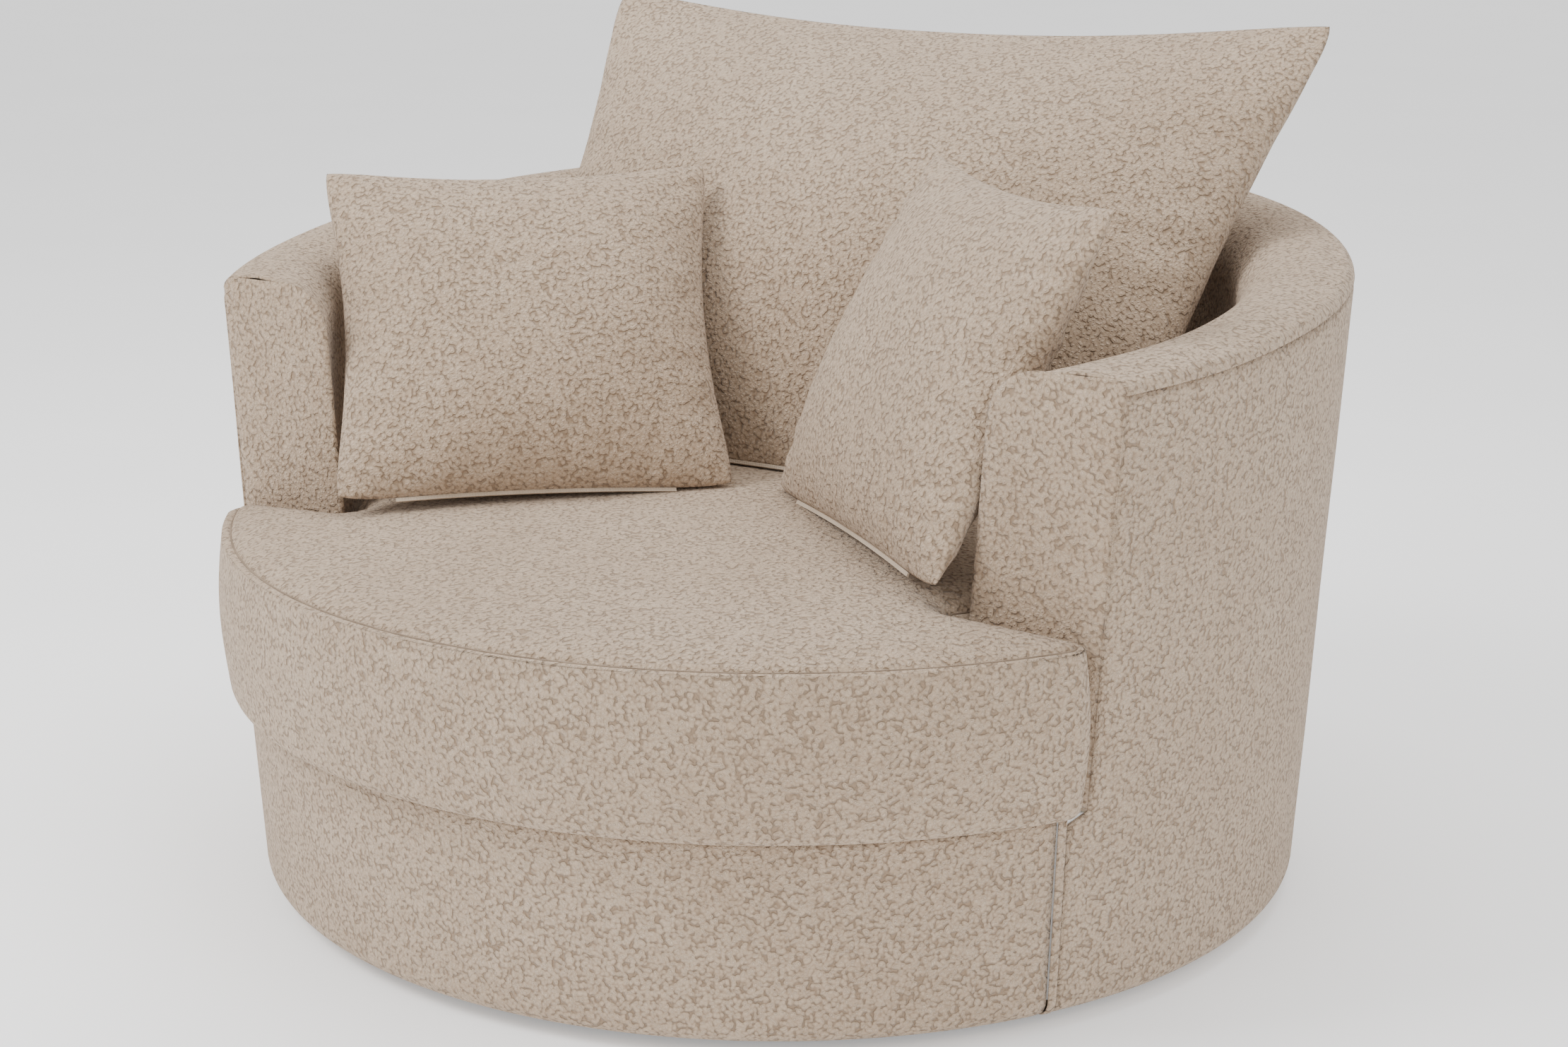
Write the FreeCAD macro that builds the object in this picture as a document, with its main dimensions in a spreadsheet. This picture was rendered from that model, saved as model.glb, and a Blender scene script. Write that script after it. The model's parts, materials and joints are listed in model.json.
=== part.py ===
import FreeCAD, Part
import Sketcher
import math
import os

# Swivel cuddle chair: a round upholstered drum on a ball-bearing turntable, with a low rail that
# climbs from the arm fronts to the back, a deep boxed seat cushion with ears in front of the arms,
# one large back cushion and two loose scatter cushions.
# Frame: millimetres, +Z up, origin on the floor under the turntable's axis, the chair faces -Y.

V = FreeCAD.Vector

# Driving sizes: name, value, what it is
SIZES = [
    # the drum and its rail
    ("foot_radius", 573.0, "outside radius of the drum, carried down to the floor"),
    ("rim_radius", 614.0, "outside radius of the drum at rim_level"),
    ("rim_level", 712.0, "height at which rim_radius is measured"),
    ("bottom_round", 20.0, "rounding of the drum's bottom edge"),
    ("wall_thick", 118.0, "radial thickness of the upholstered wall"),
    ("rail_mid", 668.0, "height of the rail's outer edge above the turntable axis line"),
    ("rail_shift", 2.0, "middle of the rail's rounded edges, behind the axis"),
    ("rail_slope", 0.076, "climb of the rail per millimetre towards the back"),
    ("rail_roll", 50.0, "rounding of the rail's inner edge"),
    ("rail_edge", 16.0, "rounding of the rail's outer edge"),
    ("arm_front", 288.0, "arm fronts lie this far in front of the axis"),
    ("seam_angle", 122.0, "front seams, degrees from the back"),
    ("seam_band", 11.0, "width of the narrow band between the two seam lines"),
    ("band_proud", 1.0, "the band stands out of the cover by this much"),
    ("cover_thick", 3.0, "cover fabric with its backing"),
    ("hem_width", 28.0, "cover turned in under the drum"),
    # padding and boards
    ("wadding_thick", 9.0, "wadding over the outside boards"),
    ("board_thick", 4.0, "bent hardboard"),
    ("rail_foam_thick", 25.0, "foam on top of the rail"),
    ("front_pad_thick", 12.0, "foam on the arm fronts"),
    ("cover_lap", 14.0, "the outer cover stops this far below the rail top"),
    # timber frame
    ("ply_thick", 18.0, "plywood of rings, rail and arm fronts"),
    ("post_depth", 44.0, "posts, radial"),
    ("post_width", 45.0, "posts, along the wall"),
    ("post_count", 8, "posts above the seat deck"),
    ("upright_count", 10, "uprights between bottom ring and deck ring"),
    ("bottom_ring_bore", 470.0, "inside radius of the bottom ring"),
    ("deck_bore", 440.0, "inside radius of the deck ring"),
    ("deck_top", 224.0, "top of the seat deck"),
    ("bearer_width", 70.0, "timber bearers over the turntable"),
    ("bearer_depth", 40.0, "their height"),
    ("bearer_spread", 240.0, "distance between their centre lines"),
    ("spacer_spread", 320.0, "distance between the two spacers' centre lines"),
    # seat deck
    ("strap_width", 60.0, "elastic webbing"),
    ("strap_thick", 2.0, "elastic webbing"),
    ("strap_pitch", 130.0, "webbing centre to centre"),
    ("strap_reach", 461.0, "radius at which the webbing ends"),
    ("strap_ramp", 50.0, "length over which a crossing strap comes down to the ring"),
    ("cloth_thick", 2.0, "deck cloth"),
    ("dust_cloth_thick", 1.0, "dust cover under the drum"),
    ("dust_gap", 12.0, "dust cover to the floor disc"),
    # turntable
    ("glide_radius", 15.0, "floor glides"),
    ("glide_height", 6.0, "floor glides"),
    ("glide_circle", 335.0, "radius of the circle of glides"),
    ("glide_count", 8, "floor glides"),
    ("disc_radius", 360.0, "plywood floor disc"),
    ("disc_thick", 15.0, "plywood floor disc"),
    ("disc_bore", 24.0, "hole in its middle"),
    ("lower_plate_radius", 140.0, "pressed steel plate on the disc"),
    ("lower_plate_thick", 2.5, "pressed steel plate"),
    ("upper_plate_radius", 165.0, "pressed steel plate under the bearers"),
    ("upper_plate_thick", 3.0, "pressed steel plate"),
    ("race_radius", 120.0, "circle of the ball race"),
    ("plate_gap", 6.5, "between the two plates"),
    ("ball_count", 16, "steel balls"),
    ("ball_play", 0.05, "a ball's clearance to each groove"),
    ("groove_depth", 0.8, "depth of both grooves"),
    ("cage_width", 16.0, "ball cage, radial"),
    ("cage_thick", 1.5, "ball cage"),
    ("cage_play", 0.2, "a ball's clearance in the cage"),
    ("pin_radius", 8.0, "centre pin"),
    ("pin_play", 0.06, "running clearance of the upper plate on the pin"),
    ("pin_flange", 14.0, "radius of the pin's head and foot"),
    ("pin_flange_thick", 2.5, "thickness of the pin's head and foot"),
    ("head_play", 0.3, "gap under the pin's head"),
    ("screw_radius", 2.4, "turntable screws"),
    ("screw_head_radius", 5.0, "turntable screws"),
    ("screw_head", 2.4, "height of a screw head"),
    ("screw_length", 12.0, "turntable screws"),
    ("lower_screw_circle", 90.0, "circle of the screws in the lower plate"),
    ("upper_screw_circle", 152.0, "circle of the screws in the upper plate"),
    ("upper_screw_angle", 37.9, "direction of the first upper screw, degrees from the side"),
    ("access_radius", 9.0, "holes in the floor disc for driving the upper screws"),
    # seat cushion
    ("seat_gap", 2.0, "seat cushion to the wall around it"),
    ("seat_rest", 0.4, "seat cushion to the deck"),
    ("seat_front", 607.4, "radius of the cushion's front seams"),
    ("seat_belly", 6.0, "the boxing band swells out by this much"),
    ("seat_seam", 391.0, "height of the cushion's top seam"),
    ("seat_shoulder", 405.0, "height of the crown just inside the seam"),
    ("seat_shoulder_in", 34.0, "that point lies this far inside the seam"),
    ("seat_crown", 431.0, "height of the crown over the axis"),
    ("seat_foot", 14.0, "rounding of the cushion's bottom edge"),
    ("ear_round", 22.0, "rounding of the ears in plan"),
    # back cushion
    ("back_foot_y", 12.0, "bottom seam of the back cushion, behind the axis"),
    ("back_foot_z", 428.1, "height of that seam"),
    ("back_lean", 39.7, "lean of the back cushion, degrees"),
    ("back_height", 628.0, "corner to corner, up the cushion"),
    ("back_top_width", 970.0, "width across the top corners"),
    ("back_waist", 832.0, "width at mid height"),
    ("back_foot_width", 816.0, "width across the bottom corners"),
    ("back_top_sag", 48.0, "top edge dips this much between the corners"),
    ("back_foot_sag", 4.0, "bottom edge rises this much between the corners"),
    ("back_front_crown", 112.0, "seam plane to the front"),
    ("back_rear_crown", 165.0, "seam plane to the rear"),
    # scatter cushions
    ("scatter_width", 440.0, "tip to tip"),
    ("scatter_height", 402.0, "tip to tip"),
    ("scatter_draw", 23.0, "sides and top draw in by this much"),
    ("scatter_foot_draw", 8.0, "bottom edge draws in by this much"),
    ("scatter_crown", 68.0, "seam plane to either face"),
    ("left_x", -251.0, "centre of the left scatter cushion"),
    ("left_y", -121.0, "centre of the left scatter cushion"),
    ("left_z", 593.3, "centre of the left scatter cushion"),
    ("left_turn", 39.3, "the left scatter cushion faces this far round, degrees"),
    ("left_lean", 37.0, "its lean, degrees"),
    ("right_x", 256.5, "centre of the right scatter cushion"),
    ("right_y", -122.0, "centre of the right scatter cushion"),
    ("right_z", 614.1, "centre of the right scatter cushion"),
    ("right_turn", -38.8, "the right scatter cushion faces this far round, degrees"),
    ("right_lean", 27.0, "its lean, degrees"),
    ("seam_edge", 3.0, "half thickness of a knife-edge seam"),
    ("zip_tape", 9.0, "width of the zip tape at a cushion's bottom edge"),
    ("zip_thick", 2.4, "thickness of the zip tape"),
    ("back_zip_length", 560.0, "zip of the back cushion"),
    ("scatter_zip_length", 300.0, "zip of a scatter cushion"),
]


class Size:
    """A number that remembers the spreadsheet expression it came from."""

    def __init__(self, value, text):
        self.value = float(value)
        self.text = text

    def _join(self, other, sign, value, swap=False):
        text = other.text if isinstance(other, Size) else repr(float(other))
        left, right = (text, self.text) if swap else (self.text, text)
        return Size(value, "(%s %s %s)" % (left, sign, right))

    def __add__(self, o):
        return self._join(o, "+", self.value + float(o))

    def __radd__(self, o):
        return self._join(o, "+", self.value + float(o), True)

    def __sub__(self, o):
        return self._join(o, "-", self.value - float(o))

    def __rsub__(self, o):
        return self._join(o, "-", float(o) - self.value, True)

    def __mul__(self, o):
        return self._join(o, "*", self.value * float(o))

    def __rmul__(self, o):
        return self._join(o, "*", self.value * float(o), True)

    def __truediv__(self, o):
        return self._join(o, "/", self.value / float(o))

    def __neg__(self):
        return Size(-self.value, "(-1 * %s)" % self.text)

    def __float__(self):
        return self.value


def root(s):
    """Square root of a size."""
    return Size(math.sqrt(s.value), "sqrt(%s)" % s.text)


class Sizes:
    """The sizes by name."""


doc = FreeCAD.newDocument("cuddle_chair")
sheet = doc.addObject("Spreadsheet::Sheet", "Sizes")
d = Sizes()
for row, (alias, number, words) in enumerate(SIZES, 1):
    sheet.set("A%d" % row, alias)
    sheet.set("B%d" % row, str(number))
    sheet.set("C%d" % row, words)
    sheet.setAlias("B%d" % row, alias)
    setattr(d, alias, Size(number, "Sizes." + alias))
doc.recompute()

# Values that several pieces share
CONE = (d.rim_radius - d.foot_radius) / d.rim_level
CONE_ANGLE = math.degrees(math.atan(float(CONE)))
REACH = d.rim_radius * 1.5
SKY = d.rail_mid * 1.8
DISC_TOP = d.glide_height + d.disc_thick
LOWER_PLATE_TOP = DISC_TOP + d.lower_plate_thick
UPPER_PLATE_UNDER = LOWER_PLATE_TOP + d.plate_gap
RING_TOP = UPPER_PLATE_UNDER + d.upper_plate_thick
RING_UNDER = RING_TOP - d.ply_thick
FLOOR_GAP = RING_UNDER - d.cover_thick
BALL_RADIUS = d.plate_gap / 2 + d.groove_depth - d.ball_play
DECK_RING_TOP = d.deck_top - d.cloth_thick - d.strap_thick * 2
DECK_RING_UNDER = DECK_RING_TOP - d.ply_thick
OUTER_BOARD_IN = d.cover_thick + d.wadding_thick
POST_OUT = OUTER_BOARD_IN + d.board_thick
# a flat post stands off the curved board by its own bow, so the inner board lies that much deeper
POST_IN = POST_OUT + d.post_depth + d.post_width * d.post_width / d.foot_radius / 8 + 0.35
INNER_BOARD_IN = POST_IN + d.board_thick
RAIL_TOP_DROP = d.cover_thick + d.rail_foam_thick
RAIL_UNDER_DROP = RAIL_TOP_DROP + d.ply_thick
PAD_FACE = d.arm_front - d.cover_thick
BOARD_FACE = PAD_FACE - d.front_pad_thick
BOARD_BACK = BOARD_FACE - d.ply_thick
BAND_HALF = float(d.seam_band) / 2.0 / float(d.foot_radius) * 180.0 / math.pi
DEG = 180.0 / math.pi
NOUGHT = Size(0, "0 * Sizes.rim_radius")


def cone(level, inset):
    """Radius inside the drum's outside at a height, less an inset."""
    return d.foot_radius + CONE * level - inset


def rail_height(y, drop):
    """Height of the sloping rail plane at y, less a drop."""
    return d.rail_mid + d.rail_slope * y - drop


def new_body(label):
    body = doc.addObject("PartDesign::Body", label)
    body.Label = label
    return body


def new_sketch(body, role, name):
    sketch = body.newObject("Sketcher::SketchObject", name)
    plane = [f for f in body.Origin.OriginFeatures if f.Role == role][0]
    sketch.AttachmentSupport = [(plane, "")]
    sketch.MapMode = "FlatFace"
    return sketch


def hold(sketch, geo, end, x, y):
    """Hold one end of a line or arc at x, y by two bound distances."""
    for kind, size, axis in (("DistanceX", x, -2), ("DistanceY", y, -1)):
        if abs(float(size)) < 1e-9:
            sketch.addConstraint(Sketcher.Constraint("PointOnObject", geo, end, axis))
        else:
            k = sketch.addConstraint(Sketcher.Constraint(kind, -1, 1, geo, end, float(size)))
            if isinstance(size, Size):
                sketch.setExpression("Constraints[%d]" % k, size.text)


def outline(sketch, corners, arcs=None):
    """Closed outline through corners; arcs maps an edge's number to (radius, side).

    Side +1 swells to the left of the walking direction, -1 to the right.
    """
    arcs = arcs or {}
    count = len(corners)
    ends = []
    for i in range(count):
        a = V(float(corners[i][0]), float(corners[i][1]), 0)
        j = (i + 1) % count
        b = V(float(corners[j][0]), float(corners[j][1]), 0)
        if i not in arcs:
            geo = sketch.addGeometry(Part.LineSegment(a, b))
            ends.append((geo, 1, 2))
            continue
        radius, side = arcs[i]
        chord = b - a
        rise = float(radius) - math.sqrt(max(float(radius) ** 2 - (chord.Length / 2) ** 2, 0.0))
        left = V(-chord.y, chord.x, 0).normalize()
        middle = (a + b) * 0.5 + left * (rise * side)
        geo = sketch.addGeometry(Part.Arc(a, middle, b))
        # arcs in a sketch run counter-clockwise, so a swell to the left swaps the ends
        ends.append((geo, 2, 1) if side > 0 else (geo, 1, 2))
    for i in range(count):
        j = (i + 1) % count
        sketch.addConstraint(
            Sketcher.Constraint("Coincident", ends[i][0], ends[i][2], ends[j][0], ends[j][1])
        )
        hold(sketch, ends[i][0], ends[i][1], corners[i][0], corners[i][1])
    for i, (radius, side) in arcs.items():
        k = sketch.addConstraint(Sketcher.Constraint("Radius", ends[i][0], float(radius)))
        if isinstance(radius, Size):
            sketch.setExpression("Constraints[%d]" % k, radius.text)


def circle(sketch, x, y, radius):
    """Circle with bound centre and radius."""
    geo = sketch.addGeometry(Part.Circle(V(float(x), float(y), 0), V(0, 0, 1), float(radius)))
    hold(sketch, geo, 3, x, y)
    k = sketch.addConstraint(Sketcher.Constraint("Radius", geo, float(radius)))
    if isinstance(radius, Size):
        sketch.setExpression("Constraints[%d]" % k, radius.text)


def revolve(body, corners, arcs=None, half_angle=None, name="turn"):
    """Revolve an outline drawn in the plane through the axis and the back."""
    sketch = new_sketch(body, "YZ_Plane", name + "_outline")
    outline(sketch, corners, arcs)
    turn = body.newObject("PartDesign::Revolution", name)
    turn.Profile = sketch
    turn.ReferenceAxis = (sketch, ["V_Axis"])
    if half_angle is None:
        turn.Angle = 360.0
    else:
        turn.Midplane = True
        if isinstance(half_angle, Size):
            turn.setExpression("Angle", (half_angle * 2).text)
        else:
            turn.Angle = 2.0 * half_angle
    body.Tip = turn
    return turn


def pad(body, role, base, length, draw, name="slab"):
    """Pad an outline from a height upwards; draw fills the sketch."""
    sketch = new_sketch(body, role, name + "_outline")
    draw(sketch)
    sketch.setExpression("AttachmentOffset.Base.z", base.text)
    solid = body.newObject("PartDesign::Pad", name)
    solid.Profile = sketch
    solid.setExpression("Length", length.text)
    body.Tip = solid
    return solid


def cut_through(body, role, draw, name="cut"):
    """Pocket an outline right through the body, both ways; the volume has to drop."""
    doc.recompute()
    before = body.Shape.Volume
    sketch = new_sketch(body, role, name + "_outline")
    draw(sketch)
    pocket = body.newObject("PartDesign::Pocket", name)
    pocket.Profile = sketch
    pocket.Type = "Length"
    pocket.Midplane = True
    pocket.setExpression("Length", (REACH * 2).text)
    body.Tip = pocket
    doc.recompute()
    if body.Shape.Volume >= before - 1e-6:
        raise RuntimeError(body.Label + ": " + name + " cuts nothing")
    return pocket


def repeat_round(body, feature, count, name):
    """Polar pattern of a feature about the upright axis."""
    pattern = body.newObject("PartDesign::PolarPattern", name)
    pattern.Originals = [feature]
    pattern.Axis = (feature.Profile[0], ["N_Axis"])
    pattern.Angle = 360.0
    pattern.setExpression("Occurrences", count.text)
    body.Tip = pattern
    return pattern


def trim_wall(body, drop, front, low=None):
    """Cut away what lies above the sloping rail plane and in front of the arm plane."""

    def draw(sketch):
        face = -front
        floor = d.deck_top if low is None else low
        corners = [
            (face, floor),
            (-REACH, floor),
            (-REACH, SKY),
            (REACH, SKY),
            (REACH, rail_height(REACH, drop)),
            (face, rail_height(face, drop)),
        ]
        outline(sketch, corners)

    return cut_through(body, "YZ_Plane", draw, "rail_and_arm_fronts")


def wall_layer(label, outer, inner, low, high, half_angle):
    """One leaning layer of the wall: a revolved strip between two insets."""
    body = new_body(label)
    corners = [
        (cone(low, inner), low),
        (cone(low, outer), low),
        (cone(high, outer), high),
        (cone(high, inner), high),
    ]
    revolve(body, corners, None, half_angle, "strip")
    return body


def turn_body(body, degrees):
    body.Placement = FreeCAD.Placement(V(0, 0, 0), FreeCAD.Rotation(V(0, 0, 1), degrees))


def round_edges(body, radius, pick, name):
    """Fillet the edges of the tip that pick() accepts."""
    doc.recompute()
    tip = body.Tip
    names = ["Edge%d" % (i + 1) for i, e in enumerate(tip.Shape.Edges) if pick(e)]
    if not names:
        raise RuntimeError(body.Label + ": no edge for " + name)
    fillet = body.newObject("PartDesign::Fillet", name)
    fillet.Base = (tip, names)
    if isinstance(radius, Size):
        fillet.setExpression("Radius", radius.text)
    else:
        fillet.Radius = radius
    body.Tip = fillet
    doc.recompute()
    return fillet


def middle_of(edge):
    return edge.valueAt((edge.FirstParameter + edge.LastParameter) / 2.0)


def radius_of(point):
    return math.hypot(point.x, point.y)


def feature(label, shape, placement=None):
    """A sub-part whose shape is worked out from the sheet."""
    item = doc.addObject("Part::Feature", label)
    item.Label = label
    item.Shape = shape
    if placement is not None:
        item.Placement = placement
    return item


def combine(kind, label, base, tool):
    item = doc.addObject(kind, label)
    item.Label = label
    item.Base = base
    item.Tool = tool
    return item


def box(label, sizes, corner):
    """Box with bound sides and corner."""
    item = doc.addObject("Part::Box", label)
    item.Label = label
    for side, size in zip(("Length", "Width", "Height"), sizes):
        item.setExpression(side, size.text)
    for axis, size in zip("xyz", corner):
        item.setExpression("Placement.Base." + axis, size.text)
    return item


def around(shape, count, start=0.0, span=360.0):
    """Copies of a shape turned about the axis."""
    copies = []
    for i in range(int(float(count))):
        copy = shape.copy()
        copy.rotate(V(0, 0, 0), V(0, 0, 1), start + span * i / int(float(count)))
        copies.append(copy)
    return copies


PARTS = []


def keep(item):
    PARTS.append(item)
    return item


# Turntable: floor disc, pressed plates, balls in a cage, centre pin


def many_sided(sides, radius, level):
    """Closed regular polygon about the upright axis at a level."""
    points = []
    for i in range(sides + 1):
        angle = 2 * math.pi * i / sides
        points.append(V(radius * math.cos(angle), radius * math.sin(angle), level))
    return Part.makePolygon(points)


def turned(sides, profile):
    """Small turned piece with flat sides: one polygon for each (radius, level) from the bottom up."""
    rings = [[v.Point for v in many_sided(sides, r, z).OrderedVertexes] for r, z in profile]
    faces = [Part.Face(Part.makePolygon(ring + ring[:1])) for ring in (rings[0], rings[-1])]
    for lower, upper in zip(rings, rings[1:]):
        for i in range(sides):
            j = (i + 1) % sides
            faces.append(Part.Face(Part.makePolygon([lower[i], lower[j], upper[j], upper[i], lower[i]])))
    shell = Part.makeShell(faces)
    shell.sewShape()
    solid = Part.Solid(shell)
    if solid.Volume < 0:
        solid.reverse()
    return solid


def make_glides():
    radius, height = float(d.glide_radius), float(d.glide_height)
    one = turned(12, [(radius - 1, 0), (radius, 1), (radius, height)])
    one.translate(V(float(d.glide_circle), 0, 0))
    step = 360.0 / float(d.glide_count)
    keep(feature("floor_glides", Part.makeCompound(around(one, d.glide_count, step / 2))))


def drilled(sketch, x, y, radius):
    """Eight-sided hole with bound corners."""
    corners = []
    for i in range(8):
        angle = math.pi * i / 4
        corners.append((x + radius * round(math.cos(angle), 6), y + radius * round(math.sin(angle), 6)))
    outline(sketch, corners)


def make_floor_disc():
    body = new_body("floor_disc")

    def draw(sketch):
        circle(sketch, 0, 0, d.disc_radius)
        circle(sketch, 0, 0, d.disc_bore)

    pad(body, "XY_Plane", d.glide_height, d.disc_thick, draw, "disc")
    for k, sign in enumerate((1, -1)):
        angle = float(d.upper_screw_angle)
        turn = Size(math.cos(angle / DEG), "cos(%s)" % d.upper_screw_angle.text)
        rise = Size(math.sin(angle / DEG), "sin(%s)" % d.upper_screw_angle.text)

        def holes(sketch, sign=sign, turn=turn, rise=rise):
            drilled(sketch, d.upper_screw_circle * turn * sign, d.upper_screw_circle * rise, d.access_radius)
            drilled(sketch, d.upper_screw_circle * turn * sign, -d.upper_screw_circle * rise, d.access_radius)

        cut_through(body, "XY_Plane", holes, "access_holes_%d" % (k + 1))
    screws = cut_through(
        body, "XY_Plane", lambda s: drilled(s, d.lower_screw_circle, NOUGHT, d.screw_radius), "screw_hole"
    )
    repeat_round(body, screws, Size(4, "4"), "screw_holes")
    keep(body)


def make_plate(label, bore, radius, low, high, grooved, screw_circle, first):
    """Pressed plate with a ball groove in its top or underside, a centre bore and four screw holes."""
    body = new_body(label)
    wide, narrow = BALL_RADIUS * 0.8, BALL_RADIUS * 0.5
    if grooved == "top":
        corners = [
            (bore, low), (radius, low), (radius, high), (d.race_radius + wide, high),
            (d.race_radius + narrow, high - d.groove_depth), (d.race_radius - narrow, high - d.groove_depth),
            (d.race_radius - wide, high), (bore, high),
        ]
    else:
        corners = [
            (bore, low), (d.race_radius - wide, low), (d.race_radius - narrow, low + d.groove_depth),
            (d.race_radius + narrow, low + d.groove_depth), (d.race_radius + wide, low),
            (radius, low), (radius, high), (bore, high),
        ]
    revolve(body, corners, name="disc")
    if first is None:
        hole = cut_through(body, "XY_Plane", lambda s: drilled(s, screw_circle, NOUGHT, d.screw_radius), "hole")
        repeat_round(body, hole, Size(4, "4"), "holes")
    else:
        turn = Size(math.cos(float(first) / DEG), "cos(%s)" % first.text)
        rise = Size(math.sin(float(first) / DEG), "sin(%s)" % first.text)

        def draw(sketch):
            for sx in (1, -1):
                for sy in (1, -1):
                    drilled(sketch, screw_circle * turn * sx, screw_circle * rise * sy, d.screw_radius)

        cut_through(body, "XY_Plane", draw, "holes")
    keep(body)


def make_turntable():
    make_plate(
        "lower_swivel_plate", d.pin_radius, d.lower_plate_radius, DISC_TOP, LOWER_PLATE_TOP,
        "top", d.lower_screw_circle, None,
    )
    make_plate(
        "upper_swivel_plate", d.pin_radius + d.pin_play, d.upper_plate_radius, UPPER_PLATE_UNDER,
        RING_TOP, "underside", d.upper_screw_circle, d.upper_screw_angle,
    )
    # the balls fill the height between the grooves but for the play
    size = float(BALL_RADIUS)
    ball = turned(8, [(size * 0.38, -size), (size * 0.92, -size * 0.38), (size * 0.92, size * 0.38),
                      (size * 0.38, size)])
    ball.translate(V(float(d.race_radius), 0, float(LOWER_PLATE_TOP + UPPER_PLATE_UNDER) / 2))
    keep(feature("swivel_balls", Part.makeCompound(around(ball, d.ball_count))))

    cage = new_body("ball_cage")
    centre = (LOWER_PLATE_TOP + UPPER_PLATE_UNDER) / 2
    low = centre - d.cage_thick / 2
    high = centre + d.cage_thick / 2
    inner = d.race_radius - d.cage_width / 2
    outer = d.race_radius + d.cage_width / 2
    revolve(cage, [(inner, low), (outer, low), (outer, high), (inner, high)], name="ring")
    half = BALL_RADIUS + d.cage_play

    def window(sketch):
        near, far = d.race_radius - half, d.race_radius + half
        outline(sketch, [(near, -half), (far, -half), (far, half), (near, half)])

    seat = cut_through(cage, "XY_Plane", window, "ball_window")
    repeat_round(cage, seat, d.ball_count, "ball_windows")
    keep(cage)

    foot = float(DISC_TOP - d.pin_flange_thick)
    neck = float(RING_TOP + d.head_play)
    top = neck + float(d.pin_flange_thick)
    flange, shank = float(d.pin_flange), float(d.pin_radius)
    base = turned(16, [(flange, foot), (flange, float(DISC_TOP))])
    rivet = turned(16, [(shank, float(DISC_TOP)), (shank, neck)])
    head = turned(16, [(flange, neck), (flange, top)])
    keep(feature("swivel_pin", base.fuse(rivet).fuse(head)))


def screw(head_level, up):
    """Pan-head screw: head against a plate, shank going up or down."""
    head, tall = float(d.screw_head_radius), float(d.screw_head)
    shank, length = float(d.screw_radius), float(d.screw_length)
    top = turned(8, [(head * 0.6, -tall), (head, -tall * 0.4), (head, 0)])
    point = turned(8, [(shank, 0), (shank, length - shank), (shank * 0.25, length)])
    solid = top.fuse(point)
    if not up:
        solid.rotate(V(0, 0, 0), V(1, 0, 0), 180)
    solid.translate(V(0, 0, float(head_level)))
    return solid


def make_screws():
    down = screw(LOWER_PLATE_TOP, False)
    down.translate(V(float(d.lower_screw_circle), 0, 0))
    keep(feature("lower_plate_screws", Part.makeCompound(around(down, 4))))
    up = screw(UPPER_PLATE_UNDER, True)
    angle = float(d.upper_screw_angle) / DEG
    x = float(d.upper_screw_circle) * math.cos(angle)
    y = float(d.upper_screw_circle) * math.sin(angle)
    copies = []
    for sx, sy in ((1, 1), (-1, 1), (-1, -1), (1, -1)):
        copy = up.copy()
        copy.translate(V(sx * x, sy * y, 0))
        copies.append(copy)
    keep(feature("upper_plate_screws", Part.makeCompound(copies)))


# Timber frame


def make_bearer(side, sign):
    """Rail across the bottom ring, its ends sawn to the ring's curve, with screw holes."""
    body = new_body("bearer_" + side)

    def draw(sketch):
        x1 = d.bearer_spread / 2 * sign - d.bearer_width / 2
        x2 = d.bearer_spread / 2 * sign + d.bearer_width / 2
        reach = d.foot_radius - d.cover_thick - d.bottom_round - d.post_depth
        corners = [
            (x1, -root(reach * reach - x1 * x1)), (x2, -root(reach * reach - x2 * x2)),
            (x2, root(reach * reach - x2 * x2)), (x1, root(reach * reach - x1 * x1)),
        ]
        outline(sketch, corners)

    pad(body, "XY_Plane", RING_TOP, d.bearer_depth, draw, "rail")
    first = d.upper_screw_angle
    turn = Size(math.cos(float(first) / DEG), "cos(%s)" % first.text)
    rise = Size(math.sin(float(first) / DEG), "sin(%s)" % first.text)

    def holes(sketch):
        for sy in (1, -1):
            drilled(sketch, d.upper_screw_circle * turn * sign, d.upper_screw_circle * rise * sy, d.screw_radius)

    cut_through(body, "XY_Plane", holes, "screw_holes")
    keep(body)


def make_spacers():
    items = []
    width = d.bearer_spread - d.bearer_width
    for name, sign in (("front", -1), ("rear", 1)):
        items.append(box(
            "spacer_" + name,
            (width, d.bearer_width, d.bearer_depth),
            (-width / 2, d.spacer_spread / 2 * sign - d.bearer_width / 2, RING_TOP),
        ))
    group = doc.addObject("Part::Compound", "bearer_spacers")
    group.Label = "bearer_spacers"
    group.Links = items
    keep(group)


def make_ring(label, outer, inner, low):
    body = new_body(label)

    def draw(sketch):
        circle(sketch, 0, 0, outer)
        circle(sketch, 0, 0, inner)

    pad(body, "XY_Plane", low, d.ply_thick, draw, "ring")
    keep(body)


def leaning_post(low, high):
    """Post standing against the outside boards, leaning with the wall, at the back."""
    width, depth = float(d.post_width), float(d.post_depth)
    gap = width * width / 8.0 / float(d.foot_radius) + 0.1
    post = Part.makeBox(width, depth, float(d.rail_mid) * 2, V(-width / 2, -depth, -float(d.rail_mid) / 2))
    post.rotate(V(0, 0, 0), V(1, 0, 0), -CONE_ANGLE)
    post.translate(V(0, float(cone(Size(0, "0"), POST_OUT)) - gap, 0))
    return post


def under_rail(drop, low):
    """Everything from a level up to the sloping rail plane, less a drop."""
    reach = float(REACH)
    corners = [
        (-reach, low), (reach, low), (reach, float(rail_height(REACH, drop))),
        (-reach, float(rail_height(-REACH, drop))), (-reach, low),
    ]
    wire = Part.makePolygon([V(-reach, y, z) for y, z in corners])
    return Part.Face(wire).extrude(V(2 * reach, 0, 0))


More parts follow.
